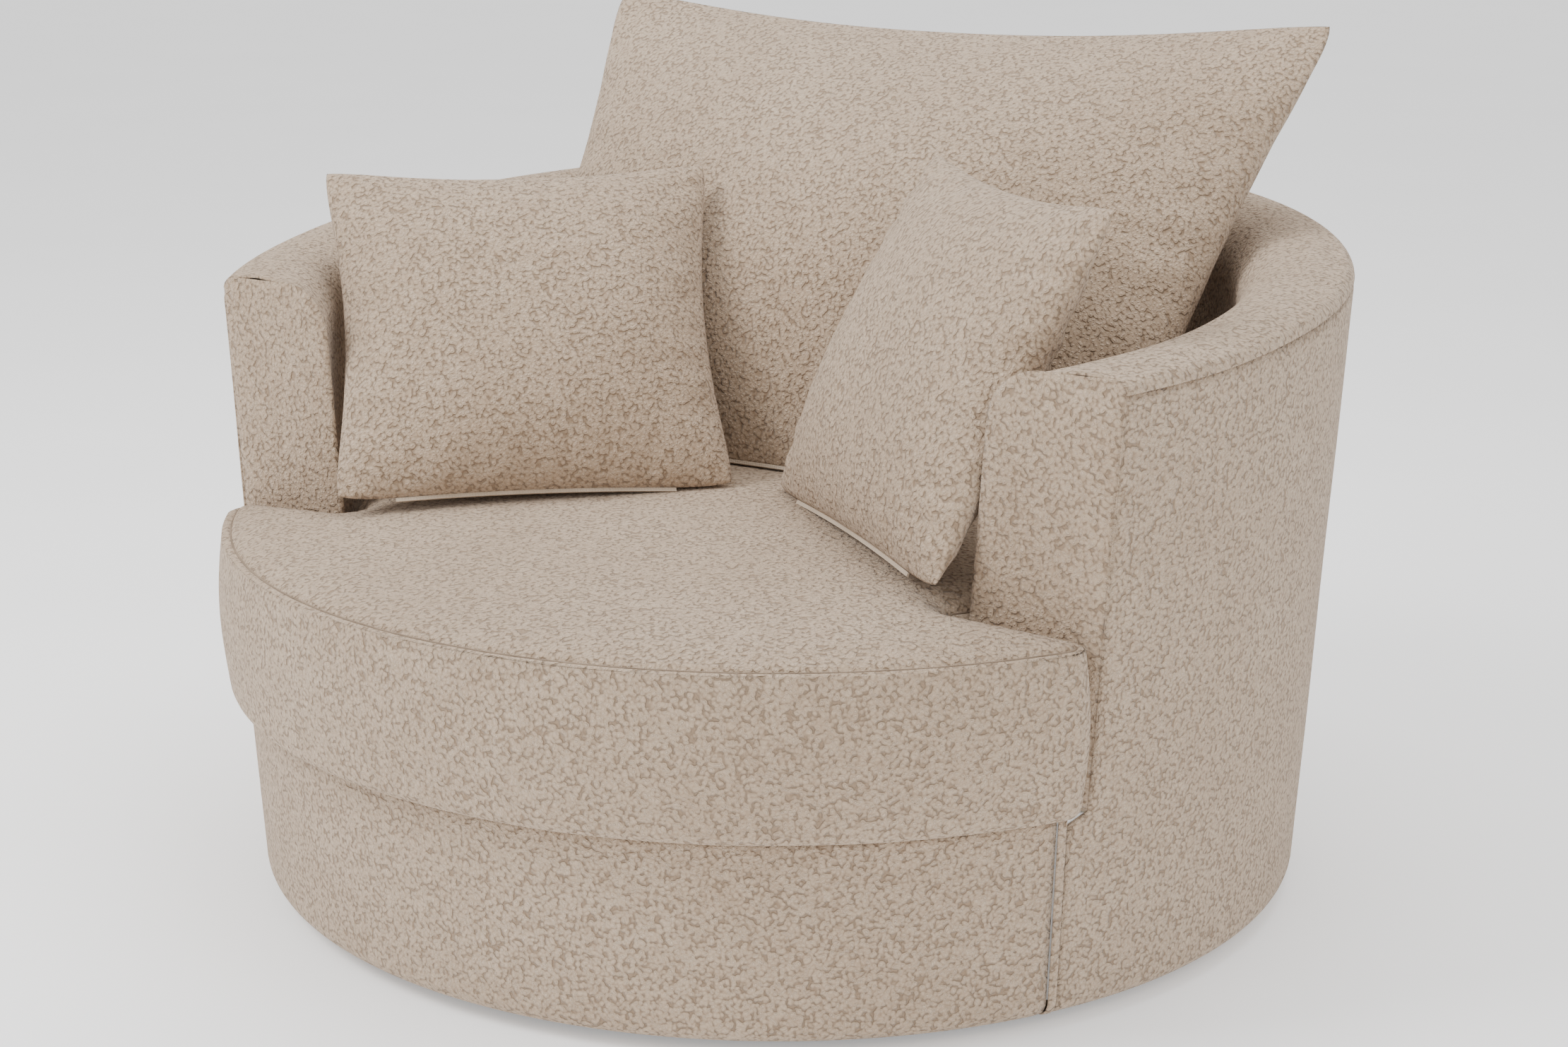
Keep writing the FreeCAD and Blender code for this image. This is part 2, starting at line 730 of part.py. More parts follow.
def make_posts():
    reach = float(REACH)
    post = leaning_post(0, 0)
    low, high = float(RING_TOP), float(DECK_RING_UNDER)
    slab = Part.makeBox(2 * reach, 2 * reach, high - low, V(-reach, -reach, low))
    uprights = around(post.common(slab), d.upright_count, 180.0 / float(d.upright_count))
    keep(feature("base_uprights", Part.makeCompound(uprights)))
    # posts spread evenly between the two arm fronts
    half = math.degrees(math.acos(float(BOARD_BACK) / float(cone(d.rail_mid, POST_OUT))))
    room = (180.0 - half) - math.degrees(float(d.post_width) / float(cone(d.rail_mid, POST_OUT)))
    count = int(float(d.post_count))
    tall = under_rail(RAIL_UNDER_DROP, float(DECK_RING_TOP))
    posts = []
    for i in range(count):
        copy = post.copy()
        copy.rotate(V(0, 0, 0), V(0, 0, 1), -room + 2 * room * i / (count - 1))
        posts.append(copy.common(tall).Solids[0])
    keep(feature("wall_posts", Part.makeCompound(posts)))


def make_top_rail():
    low = d.rail_mid * 0.75
    body = wall_layer("top_rail", POST_OUT, INNER_BOARD_IN, low, SKY, d.seam_angle + 8)
    trim_wall(body, RAIL_TOP_DROP, BOARD_BACK)

    def draw(sketch):
        corners = [
            (-REACH, low * 0.9), (REACH, low * 0.9),
            (REACH, rail_height(REACH, RAIL_UNDER_DROP)), (-REACH, rail_height(-REACH, RAIL_UNDER_DROP)),
        ]
        outline(sketch, corners)

    cut_through(body, "YZ_Plane", draw, "underside")
    keep(body)


def make_arm_board(side, sign):
    """Plywood arm front: outline of the wall's section, with an opening for the padding."""
    body = new_body("arm_front_board_" + side)
    low = DECK_RING_TOP
    high = rail_height(-BOARD_FACE, RAIL_TOP_DROP)
    play = Size(0.3, "0.3")

    def x_at(level, inset, y):
        radius = cone(level, inset)
        return root(radius * radius - y * y)

    outer_low = x_at(low, OUTER_BOARD_IN + play, BOARD_FACE)
    outer_high = x_at(high, OUTER_BOARD_IN + play, BOARD_FACE)
    inner_in = d.wall_thick - d.cover_thick - play
    inner_low = x_at(low, inner_in, BOARD_BACK)
    inner_high = x_at(high, inner_in, BOARD_BACK)
    roll = d.rail_roll * 0.6

    def draw(sketch):
        corners = [
            (inner_low * sign, low), (outer_low * sign, low), (outer_high * sign, high),
            (inner_high * sign + roll * sign, high), (inner_high * sign, high - roll),
        ]
        outline(sketch, corners)

    sketch_base = BOARD_BACK
    sketch = new_sketch(body, "XZ_Plane", "outline")
    draw(sketch)
    sketch.setExpression("AttachmentOffset.Base.z", sketch_base.text)
    solid = body.newObject("PartDesign::Pad", "board")
    solid.Profile = sketch
    solid.setExpression("Length", d.ply_thick.text)
    body.Tip = solid

    def window(sketch):
        margin = d.post_width * 0.55
        bottom = low + margin * 2
        top = high - margin * 2
        corners = [
            ((inner_low + margin) * sign, bottom), ((outer_low - margin) * sign, bottom),
            ((outer_high - margin) * sign, top), ((inner_high + margin) * sign, top),
        ]
        outline(sketch, corners)

    cut_through(body, "XZ_Plane", window, "window")
    keep(body)


def make_boards():
    body = wall_layer("outer_wall_board", OUTER_BOARD_IN, POST_OUT, RING_TOP, SKY, d.seam_angle)
    trim_wall(body, RAIL_TOP_DROP, BOARD_BACK, DECK_RING_TOP)
    keep(body)
    front = wall_layer(
        "front_base_board", OUTER_BOARD_IN, POST_OUT, RING_TOP, DECK_RING_TOP, 180 - d.seam_angle
    )
    turn_body(front, 180)
    keep(front)
    inner = wall_layer("inner_wall_board", POST_IN, INNER_BOARD_IN, DECK_RING_TOP, SKY, d.seam_angle + 8)
    trim_wall(inner, RAIL_UNDER_DROP, BOARD_BACK, DECK_RING_TOP - 1)
    keep(inner)


# Seat deck


def make_straps():
    width, thick = float(d.strap_width), float(d.strap_thick)
    reach, pitch = float(d.strap_reach), float(d.strap_pitch)
    level = float(DECK_RING_TOP)
    long_straps, cross_straps = [], []
    for i in (-2, -1, 0, 1, 2):
        offset = i * pitch
        side = abs(offset) + width / 2
        half = math.sqrt(reach * reach - side * side)
        long_straps.append(Part.makeBox(width, 2 * half, thick, V(offset - width / 2, -half, level)))
        # a crossing strap lies on the long ones and comes down to the ring at both ends
        flat = 2 * pitch + width / 2 + 5.0
        foot = flat + float(d.strap_ramp)
        lower = [(-half, level), (-foot, level), (-flat, level + thick), (flat, level + thick),
                 (foot, level), (half, level)]
        upper = [(x, z + thick) for x, z in reversed(lower)]
        wire = Part.makePolygon([V(x, offset - width / 2, z) for x, z in lower + upper + lower[:1]])
        cross_straps.append(Part.Face(wire).extrude(V(0, width, 0)))
    keep(feature("seat_straps_lengthwise", Part.makeCompound(long_straps)))
    keep(feature("seat_straps_crosswise", Part.makeCompound(cross_straps)))


def make_cloths():
    cloth = new_body("deck_cloth")
    radius = cone(d.deck_top, d.wall_thick)
    pad(cloth, "XY_Plane", d.deck_top - d.cloth_thick, d.cloth_thick,
        lambda s: circle(s, 0, 0, radius), "cloth")
    keep(cloth)
    dust = new_body("dust_cover")

    def draw(sketch):
        circle(sketch, 0, 0, cone(FLOOR_GAP, d.hem_width) - d.dust_cloth_thick / 2)
        circle(sketch, 0, 0, d.disc_radius + d.dust_gap)

    pad(dust, "XY_Plane", RING_UNDER - d.dust_cloth_thick, d.dust_cloth_thick, draw, "cloth")
    keep(dust)


# Upholstered wall


def rail_tool(label, inset):
    """Turned tool on the sloping rail plane that cuts it with its rolled inner and outer edges."""
    tool = new_body(label)
    inner = cone(d.rail_mid, d.wall_thick) + inset
    outer = cone(d.rail_mid, inset)
    roll = d.rail_roll - inset
    edge = d.rail_edge - inset
    reach = d.wall_thick * 0.6
    # each rounding is a few flat facets; the first and the last run on past the wall's faces
    corners = [
        (inner - reach, -roll * 1.15), (inner - roll * 0.04, -roll * 1.15),
        (inner + roll * 0.134, -roll * 0.5), (inner + roll * 0.5, -roll * 0.134), (inner + roll, NOUGHT),
        (outer - edge, NOUGHT), (outer - edge * 0.293, -edge * 0.293), (outer + edge * 0.088, -edge * 1.21),
        (outer + reach, -edge * 1.21), (outer + reach, d.wall_thick), (inner - reach, d.wall_thick),
    ]
    revolve(tool, corners, None, None, "rail_and_edges")
    slope = math.degrees(math.atan(float(d.rail_slope)))
    tool.Placement = FreeCAD.Placement(
        V(0, float(d.rail_shift), float(rail_height(d.rail_shift, inset))),
        FreeCAD.Rotation(V(1, 0, 0), slope),
    )
    return tool


def envelope(label, inset):
    """Whole padded wall above the deck, set in by a skin thickness, with its rolled rail."""
    top = rail_height(d.rim_radius, NOUGHT) + d.rail_edge
    body = wall_layer(label + "_ring", inset, d.wall_thick - inset, d.deck_top, top, d.seam_angle + 10)

    def draw(sketch):
        face = -(d.arm_front - inset)
        outline(sketch, [(-REACH, -REACH), (REACH, -REACH), (REACH, face), (-REACH, face)])

    cut_through(body, "XY_Plane", draw, "arm_fronts")
    return combine("Part::Cut", label, body, rail_tool(label + "_rail_tool", inset))


def slab_tool(label, y_low, y_high, side=0):
    """Box between two planes across the chair, or half of it."""
    width = REACH * 2 if side == 0 else REACH
    x = -REACH if side <= 0 else Size(0, "0 * Sizes.rim_radius")
    return box(label, (width, y_high - y_low, SKY), (x, y_low, Size(0, "0 * Sizes.rim_level")))


def rail_prism(label, drop, above):
    """Body of everything above or below the sloping rail plane, less a drop."""
    body = new_body(label)
    edge = SKY if above else Size(0, "0 * Sizes.rim_level") - d.rail_mid
    corners = [
        (-REACH, rail_height(-REACH, drop)), (REACH, rail_height(REACH, drop)),
        (REACH, edge), (-REACH, edge),
    ]
    sketch = new_sketch(body, "YZ_Plane", "outline")
    outline(sketch, corners if above else corners)
    solid = body.newObject("PartDesign::Pad", "prism")
    solid.Profile = sketch
    solid.Midplane = True
    solid.setExpression("Length", (REACH * 2).text)
    body.Tip = solid
    return body


def make_padding():
    core = envelope("padding_envelope", d.cover_thick)
    above = rail_prism("above_rail_board", RAIL_TOP_DROP, True)
    below = rail_prism("below_rail_board", RAIL_TOP_DROP, False)
    keep(combine("Part::Common", "rail_foam", core, above))
    lower = combine("Part::Common", "padding_below_rail", core, below)
    for side, sign in (("left", -1), ("right", 1)):
        tool = slab_tool("front_slab_" + side, -PAD_FACE - 1, -BOARD_FACE, sign)
        keep(combine("Part::Common", "arm_front_pad_" + side, lower, tool))
    # foam on the inside of the wall, between the two arm fronts
    inner = wall_layer("inner_zone", INNER_BOARD_IN, d.wall_thick + 40, d.deck_top - 1, SKY, d.seam_angle + 10)
    trim_wall(inner, Size(0, "0") - 5, BOARD_BACK)
    keep(combine("Part::Common", "inner_wall_foam", lower, inner))
    wadding = wall_layer("wall_wadding", d.cover_thick, OUTER_BOARD_IN, RING_TOP, SKY, d.seam_angle)
    trim_wall(wadding, RAIL_TOP_DROP, BOARD_FACE)
    keep(wadding)
    front = wall_layer(
        "front_wadding", d.cover_thick, OUTER_BOARD_IN, RING_TOP,
        d.deck_top - d.cover_thick, 180 - d.seam_angle
    )
    turn_body(front, 180)
    keep(front)
    return core


def hemmed_cover(label, top, flange, half_angle):
    """Cover strip with its rounded bottom edge and hem, and a flange over the deck if asked."""
    body = new_body(label)
    low = FLOOR_GAP
    thick = d.cover_thick
    hem = cone(low, d.hem_width)
    rounding = d.bottom_round
    ease = rounding * 0.293
    corners = [
        (hem, low),
        (cone(low, rounding), low),
        (cone(low + ease, ease), low + ease),
        (cone(low + rounding, NOUGHT), low + rounding),
        (cone(top, NOUGHT), top),
    ]
    if flange is not None:
        corners += [(cone(top, flange), top), (cone(top, flange), top - thick),
                    (cone(top - thick, thick), top - thick)]
    else:
        corners += [(cone(top, thick), top)]
    # the inside runs parallel to the outside
    inner_ease = ease + thick * 0.7
    corners += [
        (cone(low + rounding, thick), low + rounding),
        (cone(low + inner_ease, inner_ease), low + inner_ease),
        (cone(low, rounding), low + thick),
        (hem, low + thick),
    ]
    revolve(body, corners, None, half_angle, "strip")
    return body


def make_covers(core):
    band = BAND_HALF
    outer = hemmed_cover("outer_wall_cover", SKY, None, d.seam_angle - band)
    trim_wall(outer, d.cover_lap, PAD_FACE)
    keep(outer)
    front = hemmed_cover(
        "front_base_cover", d.deck_top, d.bottom_round + d.post_depth, 180 - d.seam_angle - band
    )
    turn_body(front, 180)
    keep(front)
    for side, sign in (("left", 1), ("right", -1)):
        strip = hemmed_cover("seam_band_" + side, d.deck_top, None, band)
        turn_body(strip, sign * float(d.seam_angle))
        keep(strip)
    # skin of the wall above the deck: facings on the arm fronts, the rest over rail and inside
    whole = envelope("wall_envelope", Size(0, "0 * Sizes.cover_thick"))
    skin = combine("Part::Cut", "wall_skin", whole, core)
    for side, sign in (("left", -1), ("right", 1)):
        tool = slab_tool("facing_slab_" + side, -d.arm_front - 1, -PAD_FACE, sign)
        keep(combine("Part::Common", "arm_facing_" + side, skin, tool))
    behind = slab_tool("behind_facings", -PAD_FACE, REACH)
    rear_skin = combine("Part::Common", "rear_skin", skin, behind)
    zone = wall_layer("outer_zone", Size(-5, "-5"), d.cover_thick, d.deck_top - 1, SKY, d.seam_angle + 10)
    trim_wall(zone, d.cover_lap, PAD_FACE + 5)
    keep(combine("Part::Cut", "inner_wall_cover", rear_skin, zone))


# Seat cushion


def seat_body(label, inset):
    """Boxed cushion: domed disc with a swelling band, cut back to the well behind the arm fronts."""
    body = new_body(label)
    low = d.deck_top + d.seat_rest + inset
    edge = d.seat_front - inset
    foot = d.seat_foot
    seam = d.seat_seam - inset
    shoulder = d.seat_shoulder - inset
    crown = d.seat_crown - inset
    inner = edge - d.seat_shoulder_in
    # the crown falls with the square of the radius: a quarter of the drop at half way
    half_way = crown - (crown - shoulder) / 4
    corners = [
        (0, low), (edge - foot, low), (edge, low + foot), (edge + d.seat_belly, (low + foot + seam) / 2),
        (edge, seam), (inner, shoulder), (inner / 2, half_way), (0, crown),
    ]
    revolve(body, corners, None, None, "dome")
    well = cone(d.deck_top, d.wall_thick) - d.seat_gap - inset
    back = d.arm_front + d.seat_gap + inset

    side = root(well * well - back * back)
    belly_radius = edge + d.seat_belly * 1.4
    ear = d.ear_round
    centre_y = back + ear
    centre_x = root((belly_radius - ear) * (belly_radius - ear) - centre_y * centre_y)
    stretch = belly_radius / (belly_radius - ear)

    def draw(sketch):
        """Area behind the ears, round their corners and outside the well's circle."""
        zero = Size(0, "0 * Sizes.ear_round")
        corners = [
            (-side, -back), (-centre_x, -back), (-(centre_x * stretch), -(centre_y * stretch)),
            (-REACH, -(centre_y * stretch)), (-REACH, REACH), (REACH, REACH),
            (REACH, -(centre_y * stretch)), (centre_x * stretch, -(centre_y * stretch)),
            (centre_x, -back), (side, -back), (zero, well),
        ]
        outline(sketch, corners, {1: (ear, -1), 7: (ear, -1), 9: (well, -1), 10: (well, -1)})

    cut_through(body, "XY_Plane", draw, "well_side")
    return body


def make_seat():
    keep(seat_body("seat_cushion", NOUGHT))


# Pillows: knife-edge cushions, flat facets between rows and columns of seam-to-seam points

STATIONS = (-1.0, -0.9, -0.7, -0.4, 0.0, 0.4, 0.7, 0.9, 1.0)


def between(pairs, share):
    """Value at a share of the height, straight between the given (share, value) pairs."""
    for (s0, v0), (s1, v1) in zip(pairs, pairs[1:]):
        if share <= s1:
            return v0 + (v1 - v0) * (share - s0) / (s1 - s0)
    return pairs[-1][1]


def swell(u, power=0.6):
    """Fullness of a filled cushion from seam (u = -1) to seam (u = 1)."""
    return (1.0 - u * u) ** power


def facets(rows):
    """Two flat facets in every cell of a grid of points."""
    faces = []
    for lower, upper in zip(rows, rows[1:]):
        for i in range(len(lower) - 1):
            a, b, c, e = lower[i], lower[i + 1], upper[i + 1], upper[i]
            faces.append(Part.Face(Part.makePolygon([a, b, c, a])))
            faces.append(Part.Face(Part.makePolygon([a, c, e, a])))
    return faces


def pillow(widths, height, top_sag, foot_sag, crown_front, crown_rear, ends=0.6):
    """Pillow standing in the X-Z plane, bottom corners at z = 0, front towards -Y.

    widths lists (share of the height, full width) from the bottom corners to the top ones.
    """
    edge = float(d.seam_edge)

    def point(k, t, crown, sign):
        share = (t + 1) / 2
        low = foot_sag * (1 - k * k)
        high = height - top_sag * (1 - k * k)
        depth = edge + (crown - edge) * swell(k) * swell(t, ends)
        return V(k * between(widths, share) / 2, sign * depth, low + (high - low) * share)

    front = [[point(k, t, crown_front, -1) for k in STATIONS] for t in STATIONS]
    rear = [[point(k, t, crown_rear, 1) for k in STATIONS] for t in STATIONS]
    faces = facets(front) + facets([row[::-1] for row in rear])
    # the narrow knife edge all round
    faces += facets([rear[0], front[0]]) + facets([front[-1], rear[-1]])
    for column in (0, -1):
        faces += facets([[row[column] for row in front], [row[column] for row in rear]])
    shell = Part.makeShell(faces)
    shell.sewShape()
    solid = Part.Solid(shell)
    if solid.Volume < 0:
        solid.reverse()
    return solid


def zip_strip(length, foot_sag, broad):
    """Zip tape hanging just below the bottom seam, following its curve."""
    tape, thick = float(d.zip_tape), float(d.zip_thick)
    stations = []
    for k in (-1.0, 0.0, 1.0):
        x = k * length / 2
        share = x / broad
        top = foot_sag * (1 - share * share)
        points = [V(x, -thick / 2, top), V(x, thick / 2, top), V(x, thick / 2, top - tape),
                  V(x, -thick / 2, top - tape), V(x, -thick / 2, top)]
        stations.append(Part.makePolygon(points))
    return Part.makeLoft(stations, True, True)


def tilt(shape, turn, lean, place):
    shape = shape.copy()
    shape.rotate(V(0, 0, 0), V(1, 0, 0), -lean)
    shape.rotate(V(0, 0, 0), V(0, 0, 1), turn)
    shape.translate(place)
    return shape


def make_back_cushion():
    height = float(d.back_height)
    widths = [
        (0.0, float(d.back_foot_width)),
        (0.5, float(d.back_waist)),
        (0.75, float(d.back_waist) * 0.6 + float(d.back_top_width) * 0.4 - 12.0),
        (1.0, float(d.back_top_width)),
    ]
    place = V(0, float(d.back_foot_y), float(d.back_foot_z) + float(d.zip_tape))
    form = pillow(widths, height, float(d.back_top_sag), float(d.back_foot_sag),
                  float(d.back_front_crown), float(d.back_rear_crown), 1.0)
    tape = zip_strip(float(d.back_zip_length), float(d.back_foot_sag), float(d.back_foot_width) / 2)
    lean = float(d.back_lean)
    keep(feature("back_cushion", tilt(form, 0, lean, place)))
    keep(feature("back_cushion_zip", tilt(tape, 0, lean, place)))


def make_scatter(side, x, y, z, turn, lean):
    width, height = float(d.scatter_width), float(d.scatter_height)
    draw, crown = float(d.scatter_draw), float(d.scatter_crown)
    foot = float(d.scatter_foot_draw)
    shares = ((0.0, 0.0), (0.25, 0.75), (0.5, 1.0), (0.75, 0.75), (1.0, 0.0))
    widths = [(s, width - 2 * draw * k) for s, k in shares]
    form = pillow(widths, height, draw, foot, crown, crown)
    tape = zip_strip(float(d.scatter_zip_length), foot, width / 2)
    for shape in (form, tape):
        shape.translate(V(0, 0, -height / 2))
    place = V(float(x), float(y), float(z))
    keep(feature("scatter_cushion_" + side, tilt(form, float(turn), float(lean), place)))
    keep(feature("scatter_zip_" + side, tilt(tape, float(turn), float(lean), place)))


make_glides()
make_floor_disc()
make_turntable()
make_screws()
make_bearer("left", -1)
make_bearer("right", 1)
make_spacers()
make_ring("bottom_ring", d.foot_radius - d.cover_thick - d.bottom_round + 3, d.bottom_ring_bore, RING_UNDER)
make_ring("deck_ring", cone(DECK_RING_UNDER, POST_OUT) - 0.4, d.deck_bore, DECK_RING_UNDER)
make_posts()
make_top_rail()
make_arm_board("left", -1)
make_arm_board("right", 1)
make_boards()
make_straps()
make_cloths()
padding = make_padding()
make_covers(padding)
make_seat()
make_back_cushion()
make_scatter("left", d.left_x, d.left_y, d.left_z, d.left_turn, d.left_lean)
make_scatter("right", d.right_x, d.right_y, d.right_z, d.right_turn, d.right_lean)

doc.recompute()
for item in doc.Objects:
    if "Invalid" in item.State or "Error" in item.State:
        raise RuntimeError(item.Label + " failed: " + str(item.State))
for item in PARTS:
    if item.Shape.isNull() or not item.Shape.isValid() or not item.Shape.Solids:
        raise RuntimeError(item.Label + " has no valid solid")

os.makedirs("parts", exist_ok=True)
for item in PARTS:
    item.Shape.exportStep("parts/" + item.Label + ".step")
    bounds = item.Shape.BoundBox
    print("%-26s %2d solid(s) %9.0f mm3  x %.0f..%.0f y %.0f..%.0f z %.0f..%.0f" % (
        item.Label, len(item.Shape.Solids), item.Shape.Volume, bounds.XMin, bounds.XMax,
        bounds.YMin, bounds.YMax, bounds.ZMin, bounds.ZMax))
print(len(PARTS), "parts written")
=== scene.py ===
# %% [markdown]
# # A round cuddle chair in looped cloth
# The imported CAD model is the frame: every piece below is fitted to it, in metres, with the chair facing -Y.
# The soft pieces of the CAD are plain, so each visible one is replaced by a surface worked out with numpy.

# %% Load the frame
import json
import math

import bmesh
import bpy
import numpy as np
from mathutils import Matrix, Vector


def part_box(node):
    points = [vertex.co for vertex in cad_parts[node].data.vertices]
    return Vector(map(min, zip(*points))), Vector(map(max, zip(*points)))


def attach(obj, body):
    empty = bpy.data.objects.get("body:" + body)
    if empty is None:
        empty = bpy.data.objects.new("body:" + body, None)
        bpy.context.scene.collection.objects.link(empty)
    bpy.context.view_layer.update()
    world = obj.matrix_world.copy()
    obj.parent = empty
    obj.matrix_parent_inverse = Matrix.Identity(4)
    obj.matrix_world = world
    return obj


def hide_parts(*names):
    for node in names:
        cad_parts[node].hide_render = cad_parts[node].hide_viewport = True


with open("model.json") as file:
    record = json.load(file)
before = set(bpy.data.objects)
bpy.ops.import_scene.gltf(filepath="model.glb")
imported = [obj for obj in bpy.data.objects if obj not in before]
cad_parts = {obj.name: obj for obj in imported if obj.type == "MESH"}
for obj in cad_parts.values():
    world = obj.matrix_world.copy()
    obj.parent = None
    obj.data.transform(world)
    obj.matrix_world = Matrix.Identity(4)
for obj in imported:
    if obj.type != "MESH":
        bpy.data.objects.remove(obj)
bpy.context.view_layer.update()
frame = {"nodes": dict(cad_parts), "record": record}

NODES = frame["nodes"]

# %% [markdown]
# ## Sizes
# The drum is a cone that widens upwards and its rail is a plane that climbs to the back. These few numbers
# repeat the sizes of the CAD, and every curved piece is drawn from them.

# %% Sizes of the drum, in metres
FOOT_RADIUS = 0.573  # of the cone, at floor level
CONE = 0.041 / 0.712  # growth of the radius with the height
WALL = 0.118  # from the outside cloth to the inside cloth
RAIL_MID = 0.668  # height of the rail's plane over the axis
RAIL_SLOPE = 0.076  # its climb towards the back
RAIL_ROLL = 0.050  # radius of the inner roll
RAIL_EDGE = 0.016  # radius of the outer edge
ARM_FRONT = 0.288  # distance of the arm fronts' plane from the axis
SEAM = math.radians(122.0)  # the two front seams, turned from the back
BAND = 0.011  # width of the band at each front seam
BAND_PROUD = 0.0018  # how far its middle stands out
FLOOR_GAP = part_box("outer_wall_cover")[0][2]
BOTTOM_ROUND = 0.020
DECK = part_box("seat_cushion")[0][2]
BASE_TOP = DECK - 0.0008  # the base panel stops just under the seat cushion
LAP = 0.014  # the outside cloth ends this far below the rail's plane
CLOTH = 0.0028  # thickness of the looped cloth
OUTER_STOP = ARM_FRONT - 0.0015  # the outside cloth ends here, beside the arm front
RAIL_STOP = ARM_FRONT - 0.003  # and the rail's cloth here


def drum_radius(z):
    """Outside radius of the drum: it grows in proportion to the height."""
    return FOOT_RADIUS + CONE * z


def rail_level(y):
    """Height of the rail's plane: it climbs in proportion to y."""
    return RAIL_MID + RAIL_SLOPE * y


print("drum radius %.3f at the foot, %.3f at the rail" % (drum_radius(FLOOR_GAP), drum_radius(RAIL_MID)))

# %% [markdown]
# ## Making a mesh from a grid
# Each surface is a grid of points. A quad joins every four neighbours, and doubles are merged afterwards so
# that poles and closed seams have no gap. The normals are then turned outwards in one go.

# %% Grid to mesh
MERGE = 1e-5


def add_object(name, data):
    """A new object in the scene, at the origin."""
    made = bpy.data.objects.new(name, data)
    bpy.context.scene.collection.objects.link(made)
    return made


def grid_object(name, sheets, body, smooth=True, thick=0.0):
    """One object from a list of (rows, columns, 3) grids; quads join the neighbours in each grid."""
    points, quads, start = [], [], 0
    for sheet in sheets:
        rows, cols = sheet.shape[:2]
        index = np.arange(rows * cols).reshape(rows, cols) + start
        corners = [index[:-1, :-1], index[:-1, 1:], index[1:, 1:], index[1:, :-1]]
        quads.append(np.stack(corners, -1).reshape(-1, 4))
        points.append(sheet.reshape(-1, 3))
        start += rows * cols
    mesh = bpy.data.meshes.new(name)
    mesh.from_pydata(np.concatenate(points).tolist(), [], np.concatenate(quads).tolist())
    shell = bmesh.new()
    shell.from_mesh(mesh)
    bmesh.ops.remove_doubles(shell, verts=shell.verts, dist=MERGE)
    bmesh.ops.recalc_face_normals(shell, faces=shell.faces)
    shell.to_mesh(mesh)
    shell.free()
    mesh.polygons.foreach_set("use_smooth", [smooth] * len(mesh.polygons))
    piece = add_object(name, mesh)
    if thick:
        skin = piece.modifiers.new("cloth thickness", "SOLIDIFY")
        skin.thickness = thick
        skin.offset = -1.0
    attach(piece, body)
    print("%s: %d faces" % (name, len(mesh.polygons)))
    return piece


def unrest(p, size=0.0012, wave=9.0):
    """Small unevenness of hand-stretched cloth: a sum of three slow sine waves in x, y and z."""
    x, y, z = p[..., 0], p[..., 1], p[..., 2]
    return size * (
        np.sin(wave * x + 1.7 * wave * z + 0.4) + np.sin(1.3 * wave * y - wave * z + 2.0)
        + 0.6 * np.sin(2.1 * wave * (x + y) + 1.1 * wave * z)
    ) / 2.6


def at(radius, angle, z):
    """Points from radius, angle from the back (+Y, towards +X) and height."""
    return np.stack([radius * np.sin(angle), radius * np.cos(angle), z], -1)


# %% [markdown]
# ## The outside of the drum
# On the real chair one long panel is pulled round the back from front seam to front seam and tucked under
# the floor edge. A profile (hem, rounded foot, leaning wall, tucked top) is swept round the axis. Its top
# row follows the climbing rail, so the height of each column is worked out from where the column stands.

# %% Outer wall cloth
ROUND = np.linspace(0, math.pi / 2, 9)
HEM_WIDTH = 0.028
HEM_INSET = np.concatenate([[HEM_WIDTH], BOTTOM_ROUND * (1 - np.sin(ROUND))])
HEM_LEVEL = np.concatenate([[0.0], BOTTOM_ROUND * (1 - np.cos(ROUND))]) + FLOOR_GAP


def end_angle(radius, base_angle, z):
    """Where the sweep stops: at the seam below the deck and at the arm fronts' plane above it."""
    plane = np.arccos(np.clip(-OUTER_STOP / radius, -1, 1))
    return np.where(z < DECK, base_angle, plane)


def outer_wall():
    """Rows go up the profile, columns round the drum; height share f runs from the foot to the seam.

    The top of a column depends on its angle, and its angle on the radius at its height, so the two are
    worked out in turn until they agree. The last rows tuck in under the rail's cloth.
    """
    u = np.linspace(-1, 1, 281)[None, :]
    f = np.linspace(0, 1, 60)[1:, None]
    base_angle = SEAM - BAND / 2 / FOOT_RADIUS
    low = FLOOR_GAP + BOTTOM_ROUND
    hem_radius = (drum_radius(HEM_LEVEL) - HEM_INSET)[:, None]
    hem = at(hem_radius + 0 * u, u * base_angle, HEM_LEVEL[:, None] + 0 * u)
    z = low + f * (RAIL_MID - LAP - low) + 0 * u
    for _ in range(4):
        radius = drum_radius(z)
        angle = u * end_angle(radius, base_angle, z)
        top = rail_level(radius * np.cos(angle)) - LAP
        z = low + f * (top - low)
    tuck = 0.0025 * np.clip((f - 0.985) / 0.015, 0, 1) ** 2
    p = at(radius, angle, z)
    lift = unrest(p) * np.sin(np.pi * f) - tuck
    wall = at(radius + lift, angle, z)
    return np.concatenate([hem, wall])


outer = grid_object("outer_wall_cloth", [outer_wall()], "chair", thick=CLOTH)
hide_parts("outer_wall_cover")

# %% [markdown]
# ## The front of the base and the two narrow bands
# Under the seat cushion the base has a panel of its own. At each side a narrow band stands a little proud
# between two seams. Both use the same profile as the drum, so they meet without a step.

